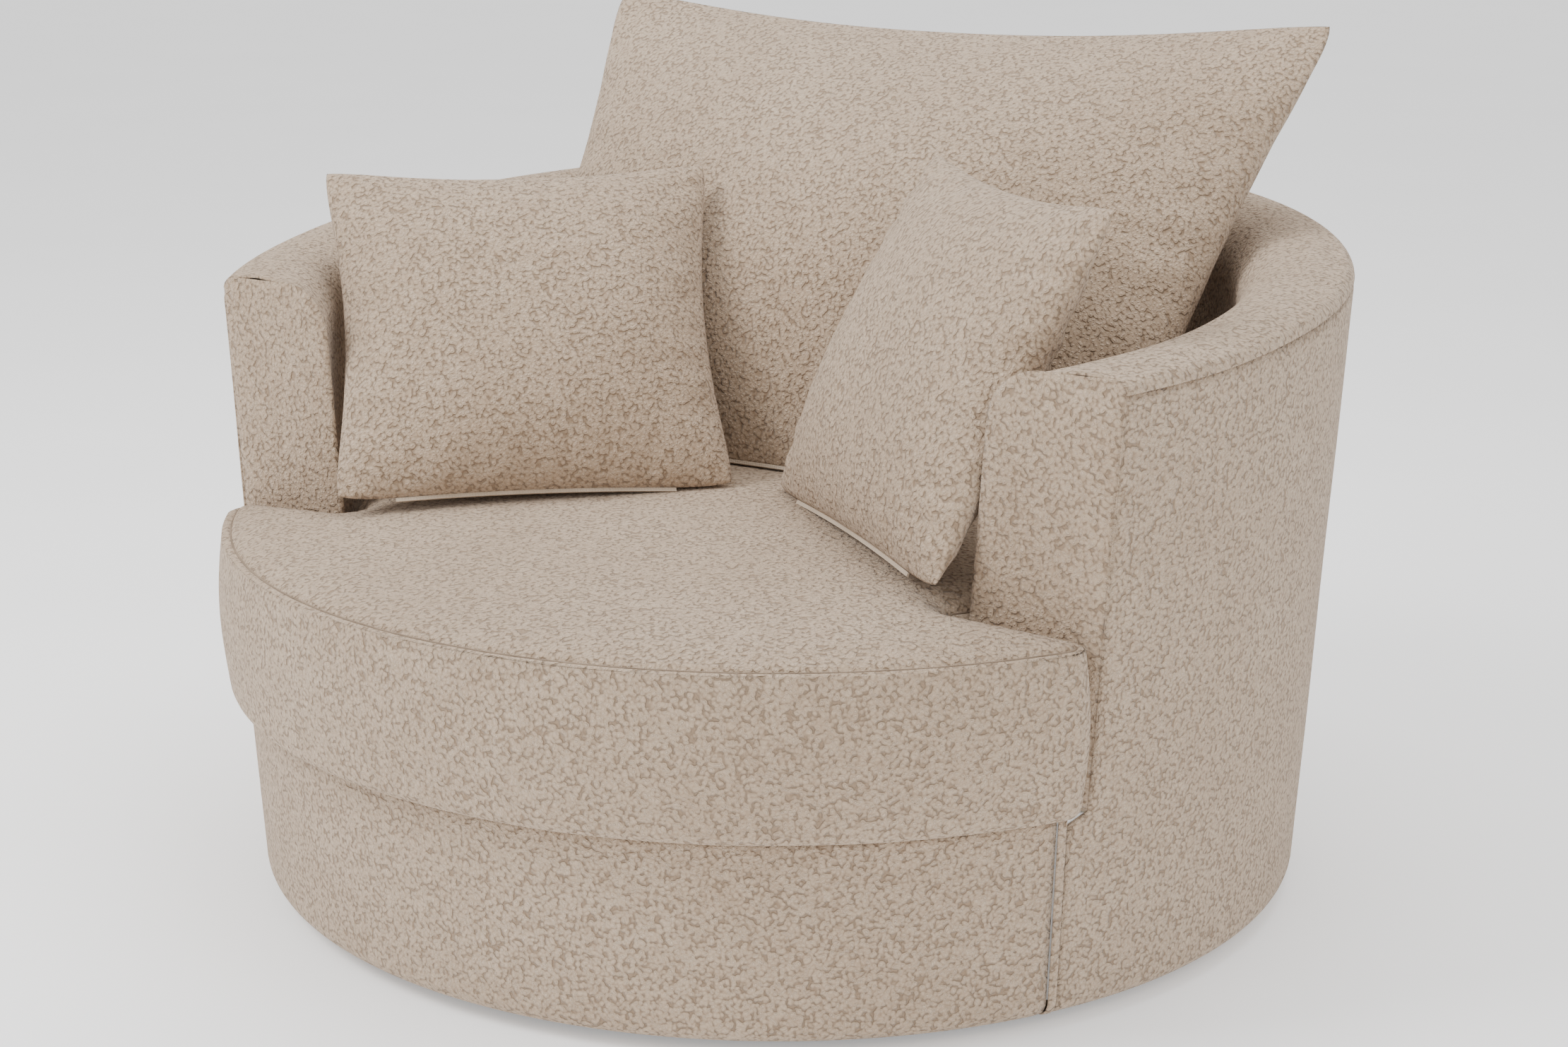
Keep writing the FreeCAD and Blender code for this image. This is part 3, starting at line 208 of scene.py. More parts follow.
# %% Front panel and bands
def base_sweep(angles, proud=0.0, tuck_ends=True, flange=0.0):
    """The drum's foot profile swept through the given angles, up to the deck.

    Proud swells the middle by 1 - u^4, and a flange turns the top edge inwards under the seat cushion.
    """
    u = np.linspace(-1, 1, len(angles))[None, :]
    rise = np.linspace(FLOOR_GAP + BOTTOM_ROUND, BASE_TOP, 26)[1:]
    level = np.concatenate([HEM_LEVEL, rise])[:, None]
    inset = np.concatenate([HEM_INSET, 0 * rise])[:, None]
    crown = proud * (1 - u ** 4)
    if tuck_ends:
        crown = crown - 0.002 * np.clip((np.abs(u) - 0.985) / 0.015, 0, 1)
    grid = at(drum_radius(level) - inset + crown, angles[None, :] + 0 * level, level + 0 * u)
    if flange:
        back = np.linspace(0, flange, 5)[1:, None]
        radius = drum_radius(DECK) - back
        shelf = at(radius + 0 * u, angles[None, :] + 0 * back, BASE_TOP + 0 * back + 0 * u)
        grid = np.concatenate([grid, shelf])
    return grid


BAND_ANGLE = BAND / 2 / FOOT_RADIUS
BAND_SHARE = 0.9
FLANGE = 0.06
front_angles = math.pi + np.linspace(-1, 1, 121) * (math.pi - SEAM - BAND_ANGLE)
front = grid_object(
    "front_base_cloth", [base_sweep(front_angles, flange=FLANGE)], "chair", thick=CLOTH
)
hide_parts("front_base_cover")
for side, sign in (("left", -1), ("right", 1)):
    across = sign * SEAM + np.linspace(-1, 1, 13) * BAND_ANGLE * BAND_SHARE
    band = grid_object(
        "seam_band_cloth_" + side, [base_sweep(across, BAND_PROUD, False)], "chair", thick=CLOTH
    )
    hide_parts("seam_band_" + side)

# %% [markdown]
# ## The rolled rail and the inside of the wall
# Foam makes the rail soft: a small round outside, a nearly flat top and a large roll inside. The section is
# written as an inset from the drum's outside and a drop below the rail's plane, and swept round the drum.

# %% Rail and inner wall cloth
RAIL_CROWN = 0.0035
RAIL_TUCK = 0.0035
EDGE_START = 0.15
WELL_FOOT = DECK + 0.004
UNEVEN_ABOVE = 0.56


def rail_section():
    """Inset and drop along the section, and the share of the way down the inner wall.

    A quarter circle for the outer edge, half a sine wave of crown over the top, a quarter circle for the
    roll, then the wall. The first point tucks the edge behind the outside cloth.
    """
    a = np.linspace(EDGE_START, math.pi / 2, 10)
    inset = [np.array([RAIL_TUCK]), RAIL_EDGE * (1 - np.cos(a))]
    drop = [np.array([LAP + 0.0005]), RAIL_EDGE * (1 - np.sin(a))]
    top = np.linspace(RAIL_EDGE, WALL - RAIL_ROLL, 16)[1:]
    inset.append(top)
    drop.append(-RAIL_CROWN * np.sin(np.pi * (top - top[0]) / (top[-1] - top[0])))
    b = np.linspace(0, math.pi / 2, 18)[1:]
    inset.append(WALL - RAIL_ROLL + RAIL_ROLL * np.sin(b))
    drop.append(RAIL_ROLL * (1 - np.cos(b)))
    down = np.linspace(0, 1, 40)[1:]
    count = sum(len(i) for i in inset)
    inset.append(np.full(len(down), WALL))
    drop.append(np.full(len(down), RAIL_ROLL))
    return np.concatenate(inset), np.concatenate(drop), np.concatenate([np.zeros(count), down])


def rail_grid(front_plane, columns=281):
    """Rows run over the section, columns round the drum; the ends stop at the arm fronts' plane."""
    inset, drop, share = (k[:, None] for k in rail_section())
    u = np.linspace(-1, 1, columns)[None, :]
    z = RAIL_MID - drop + 0 * u
    for _ in range(5):
        radius = drum_radius(z) - inset
        angle = u * np.arccos(-front_plane / radius)
        y = radius * np.cos(angle)
        z = (1 - share) * (rail_level(y) - drop) + share * WELL_FOOT
    return at(radius, angle, z)


rail = rail_grid(RAIL_STOP)
rail[..., 2] += unrest(rail, 0.0016, 11.0) * (rail[..., 2] > UNEVEN_ABOVE)
inner = grid_object("rail_and_inner_cloth", [rail], "chair", thick=CLOTH)
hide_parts("inner_wall_cover")

# %% [markdown]
# ## The arm fronts
# Each arm front is a flat padded panel with the rail's own outline, sewn in round its edge. A grid between
# the outline's inner and outer side fills it, and it bulges a little in the middle.

# %% Arm front panels
PANEL_FOOT = DECK + 0.001
PANEL_SET_BACK = 0.0022
PANEL_BULGE = 0.0035


def arm_front(sign):
    """Rows climb from the deck to the rail; each row runs from the outline's inner to its outer side.

    Both sides follow the leaning wall and turn over by quarter circles, so each row's ends are worked out
    from how far the row reaches into the inner roll and the outer edge.
    """
    rail_top = rail_level(-ARM_FRONT)
    level = np.concatenate([
        np.linspace(PANEL_FOOT, rail_top - RAIL_ROLL, 30),
        rail_top - RAIL_ROLL + RAIL_ROLL * np.sin(np.linspace(0, math.pi / 2, 22)[1:]),
    ])[:, None]
    big = np.clip(level - (rail_top - RAIL_ROLL), 0, RAIL_ROLL)
    small = np.clip(level - (rail_top - RAIL_EDGE), 0, RAIL_EDGE)
    inner_x = np.sqrt((drum_radius(level) - WALL) ** 2 - ARM_FRONT ** 2)
    outer_x = np.sqrt(drum_radius(level) ** 2 - ARM_FRONT ** 2)
    x_in = inner_x + RAIL_ROLL - np.sqrt(RAIL_ROLL ** 2 - big ** 2)
    x_out = outer_x - RAIL_EDGE + np.sqrt(RAIL_EDGE ** 2 - small ** 2)
    s = np.linspace(0, 1, 31)[None, :]
    x = x_in + (x_out - x_in) * s
    height_share = (level - level[0]) / (level[-1] - level[0])
    bulge = PANEL_BULGE * (1 - (2 * s - 1) ** 8) * (1 - np.clip(height_share * 2 - 1, 0, 1) ** 8)
    y = -ARM_FRONT + PANEL_SET_BACK - bulge
    return np.stack([sign * x, y + 0 * x, level + 0 * s], -1)


for side, sign in (("left", -1), ("right", 1)):
    panel = grid_object("arm_front_cloth_" + side, [arm_front(sign)], "chair", thick=CLOTH)
    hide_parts("arm_facing_" + side)

# %% [markdown]
# ## The seat cushion
# A boxed cushion: a plan outline with a round front, two ears before the arm fronts and a round rear that
# fills the well. Rings of points follow the outline. The side band swells, the seam pulls in, and over the top
# the height grows with the distance from the outline and falls slowly from the middle of the chair.

# %% Plan outline
SEAT_FRONT = 0.6065
SEAT_SEAM = 0.391
SEAT_CROWN = 0.431
SEAT_FOOT = DECK + 0.0006
FOOT_ROUND = 0.014
ROUND_TOP = 0.0146  # where the foot's round ends, above the deck
BAND_SWELL = 0.006
DOME_FALL, DOME_RADIUS = 0.026, 0.572
EDGE_REACH, EDGE_POWER = 0.06, 2.4
STITCH_INSET = 0.0095
EAR_ROUND = 0.022
EAR_GAP = 0.0035
WELL = float(drum_radius(DECK)) - WALL - 0.002
HEART = np.array([0.0, -0.33])  # the rings shrink to this point of the plan


def seat_outline(count=720):
    """Front arc, ear corner, straight ear back and well arc, walked once round and evenly resampled."""
    back = -(ARM_FRONT + EAR_GAP)
    centre_y = back - EAR_ROUND
    centre_x = math.sqrt((SEAT_FRONT - EAR_ROUND) ** 2 - centre_y ** 2)
    start = math.atan2(centre_y, centre_x)
    front_arc = np.linspace(-math.pi / 2, start, 160)
    half = [np.stack([np.cos(front_arc), np.sin(front_arc)], -1) * SEAT_FRONT]
    ear = np.linspace(start, math.pi / 2, 24)[1:]
    half.append(np.array([centre_x, centre_y]) + EAR_ROUND * np.stack([np.cos(ear), np.sin(ear)], -1))
    notch = math.sqrt(WELL ** 2 - back ** 2)
    half.append(np.stack([np.linspace(centre_x, notch, 40)[1:], np.full(39, back)], -1))
    well = np.linspace(math.atan2(back, notch), math.pi / 2, 160)[1:]
    half.append(np.stack([np.cos(well), np.sin(well)], -1) * WELL)
    right = np.concatenate(half)
    loop = np.concatenate([right, (right[::-1] * [-1, 1])[1:]])
    step = np.concatenate([[0], np.cumsum(np.linalg.norm(np.diff(loop, axis=0), axis=1))])
    even = np.linspace(0, step[-1], count + 1)
    return np.stack([np.interp(even, step, loop[:, 0]), np.interp(even, step, loop[:, 1])], -1)


def inward_of(outline):
    """Unit vectors square to the outline, towards its inside."""
    tangent = np.roll(outline[:-1], -1, 0) - np.roll(outline[:-1], 1, 0)
    tangent = np.concatenate([tangent, tangent[:1]])
    tangent /= np.linalg.norm(tangent, axis=1)[:, None]
    return np.stack([-tangent[:, 1], tangent[:, 0]], -1)


def seat_level(radius, away):
    """Height of the top: a dome that falls with the square of the distance from the axis, pulled down to
    the seam near the outline by (1 - away / reach) to the power of EDGE_POWER."""
    dome = SEAT_CROWN - DOME_FALL * (radius / DOME_RADIUS) ** 2
    return dome - (dome - SEAT_SEAM) * np.clip(1 - away / EDGE_REACH, 0, 1) ** EDGE_POWER


print("seat outline: %d points" % len(seat_outline()))


# %% Seat surface
def seat_surface():
    """Bottom, swelling band, seam and crown as rings; the first and the last ring are single points."""
    outline = seat_outline()
    inward = inward_of(outline)
    t = np.linspace(0, 1, 28)
    foot = np.linspace(0, math.pi / 2, 7)
    # the side: rounded foot, swelling band, then the seam's small groove
    side_in = np.concatenate([FOOT_ROUND * (1 - np.sin(foot)), -BAND_SWELL * np.sin(np.pi * t[1:] ** 1.05)])
    side_z = np.concatenate([
        SEAT_FOOT + FOOT_ROUND * (1 - np.cos(foot)),
        DECK + ROUND_TOP + (SEAT_SEAM - DECK - ROUND_TOP) * t[1:],
    ])
    rings = [np.concatenate([outline + inward * i, np.full((len(outline), 1), z)], 1)
             for i, z in zip(side_in, side_z)]
    band_rows = len(rings)
    top_in = np.array([0.0025, 0.0016, 0.001, 0.0025, 0.005, 0.008, 0.0095, 0.011, 0.014, 0.018])
    plan = [outline + inward * i for i in top_in]
    last = plan[-1]
    plan += [HEART + (last - HEART) * k for k in (1 - np.linspace(0, 1, 60)[1:] ** 0.8)]
    plan = np.stack(plan)
    # distance of each point of the plan from the outline, in blocks to spare memory
    away = np.concatenate([
        np.sqrt(((block[:, None, :] - outline[None, ::4, :]) ** 2).sum(-1)).min(1)
        for block in np.array_split(plan.reshape(-1, 2), 40)
    ]).reshape(plan.shape[:2])
    away[:len(top_in)] = top_in[:, None]
    z = seat_level(np.linalg.norm(plan, axis=-1), away)
    # the groove of the stitches, which run beside the seam
    z -= 0.0032 * np.exp(-((away - STITCH_INSET) / 0.0021) ** 2)
    top = np.concatenate([plan, z[..., None]], -1)
    top[..., 2] += unrest(top, 0.0022, 8.0) * np.clip(away / 0.1, 0, 1)
    under = np.full((len(outline), 1), SEAT_FOOT)
    bottom = [np.concatenate([HEART + (rings[0][:, :2] - HEART) * k, under], 1) for k in (0.0, 0.5)]
    grid = np.concatenate([np.stack(bottom), np.stack(rings), top])
    wobble = unrest(grid, 0.0013, 14.0)
    grid[2:band_rows + 2, :, :2] *= (1 + wobble[2:band_rows + 2, :, None] / 0.6)
    return grid


seat = grid_object("seat_cushion_boxed", [seat_surface()], "chair")
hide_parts("seat_cushion")


def seam_thread_shade(radius=0.0011, sunk=0.0026):
    """A thin round thread that lies in the groove: a small circle carried along the inset outline. It is real
    stitching whose dark colour paints the groove's shade.
    """
    outline = seat_outline(360)
    inward = inward_of(outline)
    line = outline + inward * STITCH_INSET
    level = seat_level(np.linalg.norm(line, axis=1), STITCH_INSET) - sunk
    turn = np.linspace(0, 2 * math.pi, 7)[:, None]
    flat = line[None] + inward[None] * (radius * np.cos(turn))[..., None]
    return np.concatenate([flat, (level[None] + radius * np.sin(turn))[..., None]], -1)


# the seam thread is stitching coloured darker than the cloth, so it also paints the shade in the groove
thread = grid_object("seat_seam_thread", [seam_thread_shade()], "chair")

# %% [markdown]
# ## The loose cushions
# A knife-edge cushion is two square panels sewn together. Filled, its faces crown, its sides pull in between
# the corners and small puckers run in from the seam. The fullness is (1 - |u|^2.3)^0.6 across, times the same
# up a scatter cushion, or times (1 - v^2)^0.95 up the back cushion, which is thinner at its top and bottom.
# The front and rear share their edge, so the shape is closed.

# %% Cushion surface
EDGE_DROP = 0.0045  # the bottom edge is drawn this far below the cushion's foot
TAPE_DROP = 0.0043


def pucker(u, v, seed):
    """Short folds that run in from the seam and die out towards the middle of the panel."""
    near_side = np.clip((np.abs(u) - 0.72) / 0.28, 0, 1) * np.clip((1 - np.abs(u)) / 0.06, 0, 1)
    near_end = np.clip((np.abs(v) - 0.72) / 0.28, 0, 1) * np.clip((1 - np.abs(v)) / 0.06, 0, 1)
    side = np.sin(23 * v + seed + 2.2 * np.sin(5 * v + seed))
    end = np.sin(25 * u + 1.3 * seed + 2.0 * np.sin(4 * u - seed))
    return near_side * side + near_end * end


def pillow(width_at, height, top_sag, foot_sag, crown_front, crown_rear, seed, size=90, ends=(2.3, 0.6)):
    """Front and rear sheets of a cushion standing in the X-Z plane with its front towards -Y.

    The depth is the crown times (1 - |u|^2.3)^0.6 times (1 - |v|^p)^q with p and q from ends, plus puckers
    and a slow wave. The points crowd towards the edges, where the surface turns most.
    """
    w = np.sin(np.linspace(-math.pi / 2, math.pi / 2, size)) * 0.55 + np.linspace(-1, 1, size) * 0.45
    v, u = np.meshgrid(w, w, indexing="ij")
    share = (v + 1) / 2
    low = foot_sag * (1 - u * u) - EDGE_DROP
    high = height - top_sag * (1 - np.abs(u) ** 2.2)
    x = u * width_at(share) / 2
    z = low + (high - low) * share
    # the very corners are blunt: both directions shrink a little where u and v are large together
    blunt = 1 - 0.045 * (np.abs(u) * np.abs(v)) ** 7
    x = x * blunt
    z = height / 2 + (z - height / 2) * blunt
    full = (1 - np.abs(u) ** 2.3) ** 0.6 * (1 - np.abs(v) ** ends[0]) ** ends[1]
    sheets = []
    for sign, crown in ((-1, crown_front), (1, crown_rear)):
        soft = 0.004 * np.sin(4.1 * u + seed) * np.sin(3.3 * v + 2 * seed) * full
        depth = crown * full + 0.0028 * pucker(u, v, seed + sign) * np.clip(full * 3, 0, 1) + soft
        sheets.append(np.stack([x, sign * depth, z], -1))
    return sheets


def placed(sheets, lean, turn, spot):
    """Leans a standing piece back about X, turns it about Z and moves it to its spot."""
    a, b = math.radians(-lean), math.radians(turn)
    tip = np.array([[1, 0, 0], [0, math.cos(a), -math.sin(a)], [0, math.sin(a), math.cos(a)]])
    swing = np.array([[math.cos(b), -math.sin(b), 0], [math.sin(b), math.cos(b), 0], [0, 0, 1]])
    return [sheet @ (swing @ tip).T + np.array(spot) for sheet in sheets]


def tape(length, foot_sag, broad, width=0.0042, thick=0.0022):
    """Flat zip tape under the bottom seam: a thin closed loop carried along the seam's curve."""
    x = np.linspace(-length / 2, length / 2, 61)[:, None]
    top = foot_sag * (1 - (x / broad) ** 2) - TAPE_DROP
    loop_y = np.array([-1, 1, 1, 0.2, -0.2, -1, -1]) * thick / 2
    loop_z = np.array([0, 0, -1, -1, -1, -1, 0]) * width
    body = np.stack([x + 0 * loop_y, loop_y + 0 * x, top + loop_z], -1)
    ends = [np.stack([body[k], np.repeat(body[k].mean(0)[None], len(loop_y), 0)]) for k in (0, -1)]
    return [body] + ends


# %% Back cushion
BACK_HEIGHT = 0.628
BACK_LEAN = 39.7
BACK_SPOT = (0.0, 0.012, 0.4268 + 0.009)
BACK_SAG = 0.004
WIDTHS = [0.816, 0.808, 0.808, 0.816, 0.832, 0.852, 0.882, 0.922, 0.970]  # from the foot to the top


def back_width(share):
    """Nearly straight sides at the bottom that flare out to the top corners."""
    return np.interp(share, np.linspace(0, 1, len(WIDTHS)), WIDTHS)


back_sheets = pillow(back_width, BACK_HEIGHT, 0.048, BACK_SAG, 0.112, 0.160, 0.7, 130, (2.0, 0.95))
back = grid_object("back_cushion_cloth", placed(back_sheets, BACK_LEAN, 0, BACK_SPOT), "chair")
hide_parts("back_cushion")
back_strip = placed(tape(0.56, BACK_SAG, WIDTHS[0] / 2), BACK_LEAN, 0, BACK_SPOT)
back_tape = grid_object("back_zip_tape", back_strip, "chair", False)
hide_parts("back_cushion_zip")

# %% Scatter cushions
SCATTER_WIDTH = 0.440
SCATTER_HEIGHT = 0.402
SCATTER_CROWN = 0.068
SCATTER_SIDE = 0.023
SCATTER_SAG = 0.008


def scatter_width(share):
    """Sides drawn in by a parabola between the corners."""
    return SCATTER_WIDTH - 2 * SCATTER_SIDE * (1 - (2 * share - 1) ** 2)


def about_middle(sheets):
    """The scatter cushions are placed by their middles, so their sheets move down by half the height."""
    for sheet in sheets:
        sheet[..., 2] -= SCATTER_HEIGHT / 2
    return sheets


# lean, turn, place of the middle and a number that sets the folds
SCATTERS = {
    "left": (37.0, 39.3, (-0.251, -0.121, 0.5933), 1.9),
    "right": (27.0, -38.8, (0.2565, -0.122, 0.6123), 4.4),
}
for side, (lean, turn, spot, seed) in SCATTERS.items():
    sheets = about_middle(pillow(
        scatter_width, SCATTER_HEIGHT, SCATTER_SIDE, SCATTER_SAG, SCATTER_CROWN, SCATTER_CROWN, seed
    ))
    cushion = grid_object(
        "scatter_cloth_" + side, placed(sheets, lean, turn, spot), "scatter_" + side
    )
    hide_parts("scatter_cushion_" + side)
    strip = about_middle(tape(0.30, SCATTER_SAG, SCATTER_WIDTH / 2))
    zip_piece = grid_object(
        "scatter_zip_tape_" + side, placed(strip, lean, turn, spot), "scatter_" + side, False
    )
    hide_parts("scatter_zip_" + side)

# %% [markdown]
# ## Finishes
# Looped cloth is a field of curls about 4 mm across: rounded cells, bent by noise, with painted shade darkening
# the gaps between them and fine fibres over them. The same group of nodes makes it on every panel. Other
# effects that several finishes share (weave, wood grain, fine mottling) are groups too; the shader stays in the
# material.

# %% Helpers for node groups
def new_group(name, inputs, outputs):
    """Empty node group with float inputs and the named outputs."""
    group = bpy.data.node_groups.new(name, "ShaderNodeTree")
    group.interface.new_socket("Vector", in_out="INPUT", socket_type="NodeSocketVector")
    for label, value in inputs.items():
        group.interface.new_socket(label, in_out="INPUT", socket_type="NodeSocketFloat").default_value = value
    for label in outputs:
        group.interface.new_socket(label, in_out="OUTPUT", socket_type="NodeSocketFloat")
    return group, group.nodes.new("NodeGroupInput"), group.nodes.new("NodeGroupOutput")


def math_node(group, kind, a, b=None):
    """One math node fed by sockets or numbers."""
    node = group.nodes.new("ShaderNodeMath")
    node.operation = kind
    for socket, value in zip(node.inputs, (a, b)):
        if value is None:
            continue
        if isinstance(value, (int, float)):
            socket.default_value = value
        else:
            group.links.new(value, socket)
    return node.outputs[0]


def noise(group, vector, scale, detail=2.0, rough=0.5):
    """A noise texture fed by a vector; its scale is a number or a socket."""
    node = group.nodes.new("ShaderNodeTexNoise")
    node.inputs["Detail"].default_value = detail
    node.inputs["Roughness"].default_value = rough
    group.links.new(vector, node.inputs["Vector"])
    if isinstance(scale, (int, float)):
        node.inputs["Scale"].default_value = scale
    else:
        group.links.new(scale, node.inputs["Scale"])
    return node


# %% Loops group
def loops_group():
    """Height is the rounded top of each curl plus fibres; the gap output is a mask of painted shade, 1 between
    curls; Tone drifts slowly.
    """
    group, start, end = new_group("curled_loops", {"Scale": 150.0, "Bend": 0.006}, ["Height", "Gap_Shade", "Tone"])
    bend = noise(group, start.outputs["Vector"], 95.0, 1.0)
    shift = group.nodes.new("ShaderNodeVectorMath")
    shift.operation = "MULTIPLY_ADD"
    group.links.new(bend.outputs["Color"], shift.inputs[0])
    width = group.nodes.new("ShaderNodeCombineXYZ")
    for k in range(3):
        group.links.new(start.outputs["Bend"], width.inputs[k])
    group.links.new(width.outputs[0], shift.inputs[1])
    group.links.new(start.outputs["Vector"], shift.inputs[2])
    cells = group.nodes.new("ShaderNodeTexVoronoi")
    cells.feature = "SMOOTH_F1"
    cells.inputs["Smoothness"].default_value = 0.35
    group.links.new(shift.outputs[0], cells.inputs["Vector"])
    group.links.new(start.outputs["Scale"], cells.inputs["Scale"])
    dome = math_node(group, "SUBTRACT", 1.0, math_node(group, "POWER", cells.outputs["Distance"], 1.6))
    # a curl is a ring: a ripple on the distance from its middle
    curl = math_node(group, "SINE", math_node(group, "MULTIPLY", cells.outputs["Distance"], 13.0))
    fibres = noise(group, shift.outputs[0], 900.0, 3.0, 0.7)
    height = math_node(group, "ADD", dome, math_node(group, "MULTIPLY", curl, 0.10))
    height = math_node(group, "ADD", height, math_node(group, "MULTIPLY", fibres.outputs["Fac"], 0.28))
    group.links.new(height, end.inputs["Height"])
    # painted shade: the gap mask grows towards 1 where the curls meet, darkening the colour there
    gap_shade = math_node(group, "POWER", math_node(group, "MULTIPLY", cells.outputs["Distance"], 1.35), 1.7)
    group.links.new(math_node(group, "MINIMUM", gap_shade, 1.0), end.inputs["Gap_Shade"])
    slow = noise(group, start.outputs["Vector"], 5.0, 2.0)
    tint = noise(group, start.outputs["Vector"], 60.0, 2.0)
    tone = math_node(group, "ADD", math_node(group, "MULTIPLY", slow.outputs["Fac"], 0.25),
                     math_node(group, "MULTIPLY", tint.outputs["Fac"], 0.30))
    tone = math_node(group, "ADD", tone, math_node(group, "MULTIPLY", fibres.outputs["Fac"], 0.45))
    group.links.new(tone, end.inputs["Tone"])
    return group


LOOPS = loops_group()
print("%s: %d nodes" % (LOOPS.name, len(LOOPS.nodes)))


# %% Weave, grain and mottle groups
def weave_group():
    """Over-and-under threads: the higher of two crossed sine waves; Tone is slow noise."""
    group, start, end = new_group("crossed_weave", {"Scale": 900.0}, ["Height", "Tone"])
    part = group.nodes.new("ShaderNodeSeparateXYZ")
    group.links.new(start.outputs["Vector"], part.inputs[0])
    waves = []
    for a, b in (("X", "Z"), ("Y", "Z")):
        run = math_node(group, "ADD", part.outputs[a], math_node(group, "MULTIPLY", part.outputs[b], 0.7))
        waves.append(math_node(group, "SINE", math_node(group, "MULTIPLY", run, start.outputs["Scale"])))
    group.links.new(math_node(group, "MAXIMUM", waves[0], waves[1]), end.inputs["Height"])
    group.links.new(noise(group, start.outputs["Vector"], 20.0, 3.0).outputs["Fac"], end.inputs["Tone"])
    return group


def grain_group():
    """Long streaks: noise on a vector squeezed along the grain, with finer pores over it."""
    group, start, end = new_group("wood_grain", {"Scale": 18.0}, ["Grain", "Pores"])
    squeeze = group.nodes.new("ShaderNodeMapping")
    squeeze.inputs["Scale"].default_value = (1.0, 0.12, 2.2)
    group.links.new(start.outputs["Vector"], squeeze.inputs["Vector"])
    streaks = noise(group, squeeze.outputs[0], start.outputs["Scale"], 4.0, 0.6)
    pores = noise(group, squeeze.outputs[0], 260.0, 2.0)
    group.links.new(streaks.outputs["Fac"], end.inputs["Grain"])
    group.links.new(pores.outputs["Fac"], end.inputs["Pores"])
    return group


def mottle_group():
    """Cloudy unevenness at two scales, for metal, plastic and foam."""
    group, start, end = new_group("fine_mottle", {"Scale": 60.0}, ["Cloud", "Speck"])
    clouds = noise(group, start.outputs["Vector"], start.outputs["Scale"], 3.0)
    specks = noise(group, start.outputs["Vector"], 700.0, 2.0)
    group.links.new(clouds.outputs["Fac"], end.inputs["Cloud"])
    group.links.new(specks.outputs["Fac"], end.inputs["Speck"])
    return group


WEAVE, GRAIN, MOTTLE = weave_group(), grain_group(), mottle_group()
for made in (WEAVE, GRAIN, MOTTLE):
    print("%s: %d nodes" % (made.name, len(made.nodes)))

# %% Building a material from a group
def finish(
    name, group, scale, tone, height, dark, light, rough, depth, metallic=0.0, sheen=0.0, gap_shade=None, strength=0.6
):
    """Principled shader whose colour runs from dark to light by tone, with bump from height.

    Tone and height name outputs of the group, rough is the lowest and highest roughness, depth is the
    height of the bump in metres, and gap is the colour of the painted shade between the curls.
    """
    material = bpy.data.materials.new(name)
    material.use_nodes = True
    tree = material.node_tree
    shader = tree.nodes["Principled BSDF"]
    where = tree.nodes.new("ShaderNodeTexCoord")
    effect = tree.nodes.new("ShaderNodeGroup")
    effect.node_tree = group
    effect.inputs["Scale"].default_value = scale
    tree.links.new(where.outputs["Object"], effect.inputs["Vector"])
    ramp = tree.nodes.new("ShaderNodeValToRGB")
    for stop, place, colour in zip(ramp.color_ramp.elements, (0.36, 0.64), (dark, light)):
        stop.position = place
        stop.color = (*colour, 1)
    tree.links.new(effect.outputs[tone], ramp.inputs[0])
    colour = ramp.outputs[0]
    # painted shade: the gap colour is mixed in by the group's gap mask, between the curls
    if gap_shade:
        mix = tree.nodes.new("ShaderNodeMix")
        mix.data_type = "RGBA"
        mix.blend_type = "MIX"
        tree.links.new(effect.outputs["Gap_Shade"], mix.inputs["Factor"])
        tree.links.new(colour, mix.inputs["A"])
        mix.inputs["B"].default_value = (*gap_shade, 1)
        colour = mix.outputs["Result"]
    tree.links.new(colour, shader.inputs["Base Color"])
    spread = tree.nodes.new("ShaderNodeMapRange")
    spread.inputs["To Min"].default_value, spread.inputs["To Max"].default_value = rough
    tree.links.new(effect.outputs[tone], spread.inputs["Value"])
    tree.links.new(spread.outputs[0], shader.inputs["Roughness"])
    bump = tree.nodes.new("ShaderNodeBump")
    bump.inputs["Strength"].default_value = strength
    bump.inputs["Distance"].default_value = depth
    tree.links.new(effect.outputs[height], bump.inputs["Height"])
    tree.links.new(bump.outputs[0], shader.inputs["Normal"])
    shader.inputs["Metallic"].default_value = metallic
    shader.inputs["Sheen Weight"].default_value = sheen
    shader.inputs["Specular IOR Level"].default_value = 0.25 if sheen else 0.5
    return material


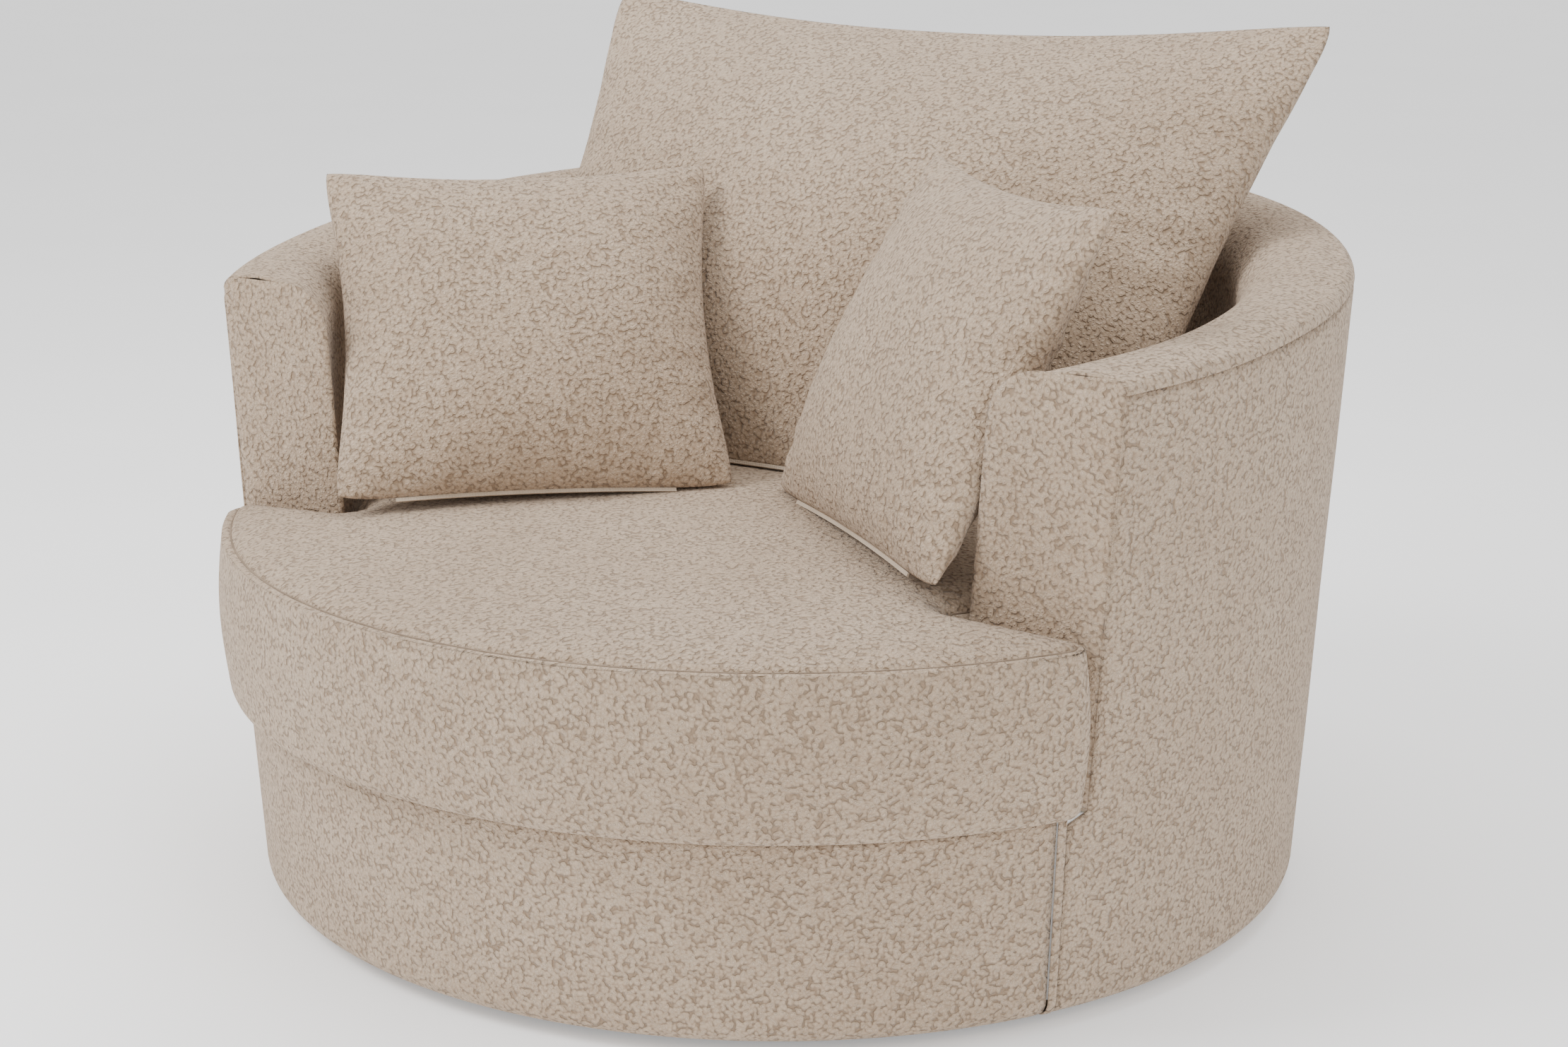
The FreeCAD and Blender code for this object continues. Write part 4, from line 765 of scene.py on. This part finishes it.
FINISHES = {
    # the boucle's gap colour paints the shade between the curls
    "boucle": finish(
        "looped_cloth", LOOPS, 240.0, "Tone", "Height", (0.52, 0.385, 0.27), (0.70, 0.55, 0.41),
        (0.88, 0.98), 0.0035, sheen=0.2, gap_shade=(0.33, 0.232, 0.152), strength=1.0,
    ),
    "zip_tape": finish(
        "zip_tape_cloth", WEAVE, 2600.0, "Tone", "Height", (0.50, 0.40, 0.30), (0.60, 0.49, 0.38),
        (0.8, 0.9), 0.0004, sheen=0.1,
    ),
    "foam": finish(
        "cushion_foam", MOTTLE, 90.0, "Cloud", "Speck", (0.86, 0.80, 0.60), (0.95, 0.92, 0.78),
        (0.85, 0.95), 0.0008,
    ),
    "wadding": finish(
        "white_wadding", MOTTLE, 40.0, "Cloud", "Cloud", (0.84, 0.84, 0.82), (0.95, 0.95, 0.94),
        (0.9, 1.0), 0.003, sheen=0.2,
    ),
    "lining_cloth": finish(
        "dark_lining", WEAVE, 1800.0, "Tone", "Height", (0.03, 0.03, 0.032), (0.07, 0.07, 0.072),
        (0.85, 0.95), 0.0004,
    ),
    "webbing": finish(
        "elastic_webbing", WEAVE, 1400.0, "Tone", "Height", (0.08, 0.075, 0.07), (0.22, 0.21, 0.20),
        (0.75, 0.9), 0.0007,
    ),
    "plywood": finish(
        "birch_plywood", GRAIN, 16.0, "Grain", "Pores", (0.58, 0.42, 0.25), (0.78, 0.64, 0.44),
        (0.5, 0.7), 0.0003,
    ),
    "hardboard": finish(
        "brown_hardboard", MOTTLE, 120.0, "Cloud", "Speck", (0.20, 0.12, 0.07), (0.33, 0.21, 0.13),
        (0.5, 0.7), 0.0003,
    ),
    "timber": finish(
        "planed_timber", GRAIN, 11.0, "Grain", "Pores", (0.62, 0.45, 0.27), (0.82, 0.68, 0.47),
        (0.55, 0.75), 0.0004,
    ),
    "zinc_steel": finish(
        "zinc_plated_steel", MOTTLE, 70.0, "Cloud", "Speck", (0.50, 0.51, 0.53), (0.68, 0.69, 0.70),
        (0.28, 0.45), 0.0001, metallic=1.0,
    ),
    "ball_steel": finish(
        "polished_steel", MOTTLE, 150.0, "Cloud", "Speck", (0.62, 0.63, 0.65), (0.74, 0.75, 0.76),
        (0.08, 0.18), 0.00005, metallic=1.0,
    ),
    "cage_plastic": finish(
        "white_plastic", MOTTLE, 110.0, "Cloud", "Speck", (0.78, 0.78, 0.75), (0.88, 0.88, 0.86),
        (0.35, 0.5), 0.0001,
    ),
    "glide_plastic": finish(
        "black_plastic", MOTTLE, 110.0, "Cloud", "Speck", (0.02, 0.02, 0.02), (0.05, 0.05, 0.05),
        (0.4, 0.6), 0.0001,
    ),
}

# %% Give every piece its finish
for part in frame["record"]["subparts"]:
    node = NODES[part["node"]]
    node.data.materials.clear()
    node.data.materials.append(FINISHES[part["material_slot"]])
# painted shade: the thread's colours are darker than the cloth's, to darken the seat's seam groove
thread.data.materials.append(finish("seam_thread_shade", WEAVE, 2400.0, "Tone", "Height", (0.22, 0.16, 0.11),
                                    (0.30, 0.225, 0.16), (0.8, 0.9), 0.0003))
cloths = [p for p in bpy.data.objects if p.type == "MESH" and p.name not in NODES and not p.data.materials]
for piece in cloths:
    piece.data.materials.append(FINISHES["zip_tape" if "zip_tape" in piece.name else "boucle"])
print("%d finishes, %d new cloth pieces" % (len(FINISHES), len(cloths)))

# %% [markdown]
# ## Floor, light and camera
# A pale floor that runs out of sight and glows a little, a bright even sky and three large soft lamps give the
# photograph's shadowless look with only a soft dark line where the drum stands. The camera stands where the
# photographer did.

# %% Floor
floor_mesh = bpy.data.meshes.new("studio_floor")
floor_mesh.from_pydata([(-30, -30, 0), (30, -30, 0), (30, 30, 0), (-30, 30, 0)], [], [(0, 1, 2, 3)])
floor = add_object("studio_floor", floor_mesh)
pale = finish(
    "pale_floor", MOTTLE, 2.0, "Cloud", "Cloud", (0.95, 0.95, 0.95), (0.97, 0.97, 0.97), (0.8, 0.9), 1e-5
)
floor_mesh.materials.append(pale)
glow = pale.node_tree.nodes["Principled BSDF"]
glow.inputs["Emission Color"].default_value = (1, 1, 1, 1)
glow.inputs["Emission Strength"].default_value = 0.35
print("floor in", pale.name)

# %% Light
world = bpy.data.worlds.new("soft_sky")
bpy.context.scene.world = world
world.use_nodes = True
sky = world.node_tree.nodes["Background"]
sky.inputs["Color"].default_value = (1, 1, 1, 1)
sky.inputs["Strength"].default_value = 1.0


LAMP_TARGET = Vector((0, 0, 0.4))


def lamp(name, place, power, size):
    """Square area lamp at a place, turned to the middle of the chair."""
    light = bpy.data.lights.new(name, "AREA")
    light.energy = power
    light.size = size
    holder = add_object(name, light)
    holder.location = place
    holder.rotation_euler = (LAMP_TARGET - Vector(place)).to_track_quat("-Z", "Y").to_euler()
    print("%s: %d W, %.1f m wide" % (name, power, size))


lamp("key_lamp", (-2.2, -2.2, 3.2), 120, 1.8)
lamp("fill_lamp", (3.2, -1.6, 2.2), 22, 2.5)
lamp("top_lamp", (0.2, 0.6, 3.8), 70, 2.5)

# %% Camera
AZIMUTH = math.radians(30.62)
RIGHT = Vector((math.cos(AZIMUTH), math.sin(AZIMUTH), 0))
camera_data = bpy.data.cameras.new("camera")
camera_data.lens = 65.73
camera_data.sensor_width = 36.0
camera = add_object("camera", camera_data)
camera.location = (1.566, -2.636, 1.194)
aim = RIGHT * 0.00513 + Vector((0, 0, 0.3734))
camera.rotation_euler = (aim - camera.location).to_track_quat("-Z", "Y").to_euler()
bpy.context.scene.camera = camera
print("camera %.2f m from the aim" % (camera.location - aim).length)
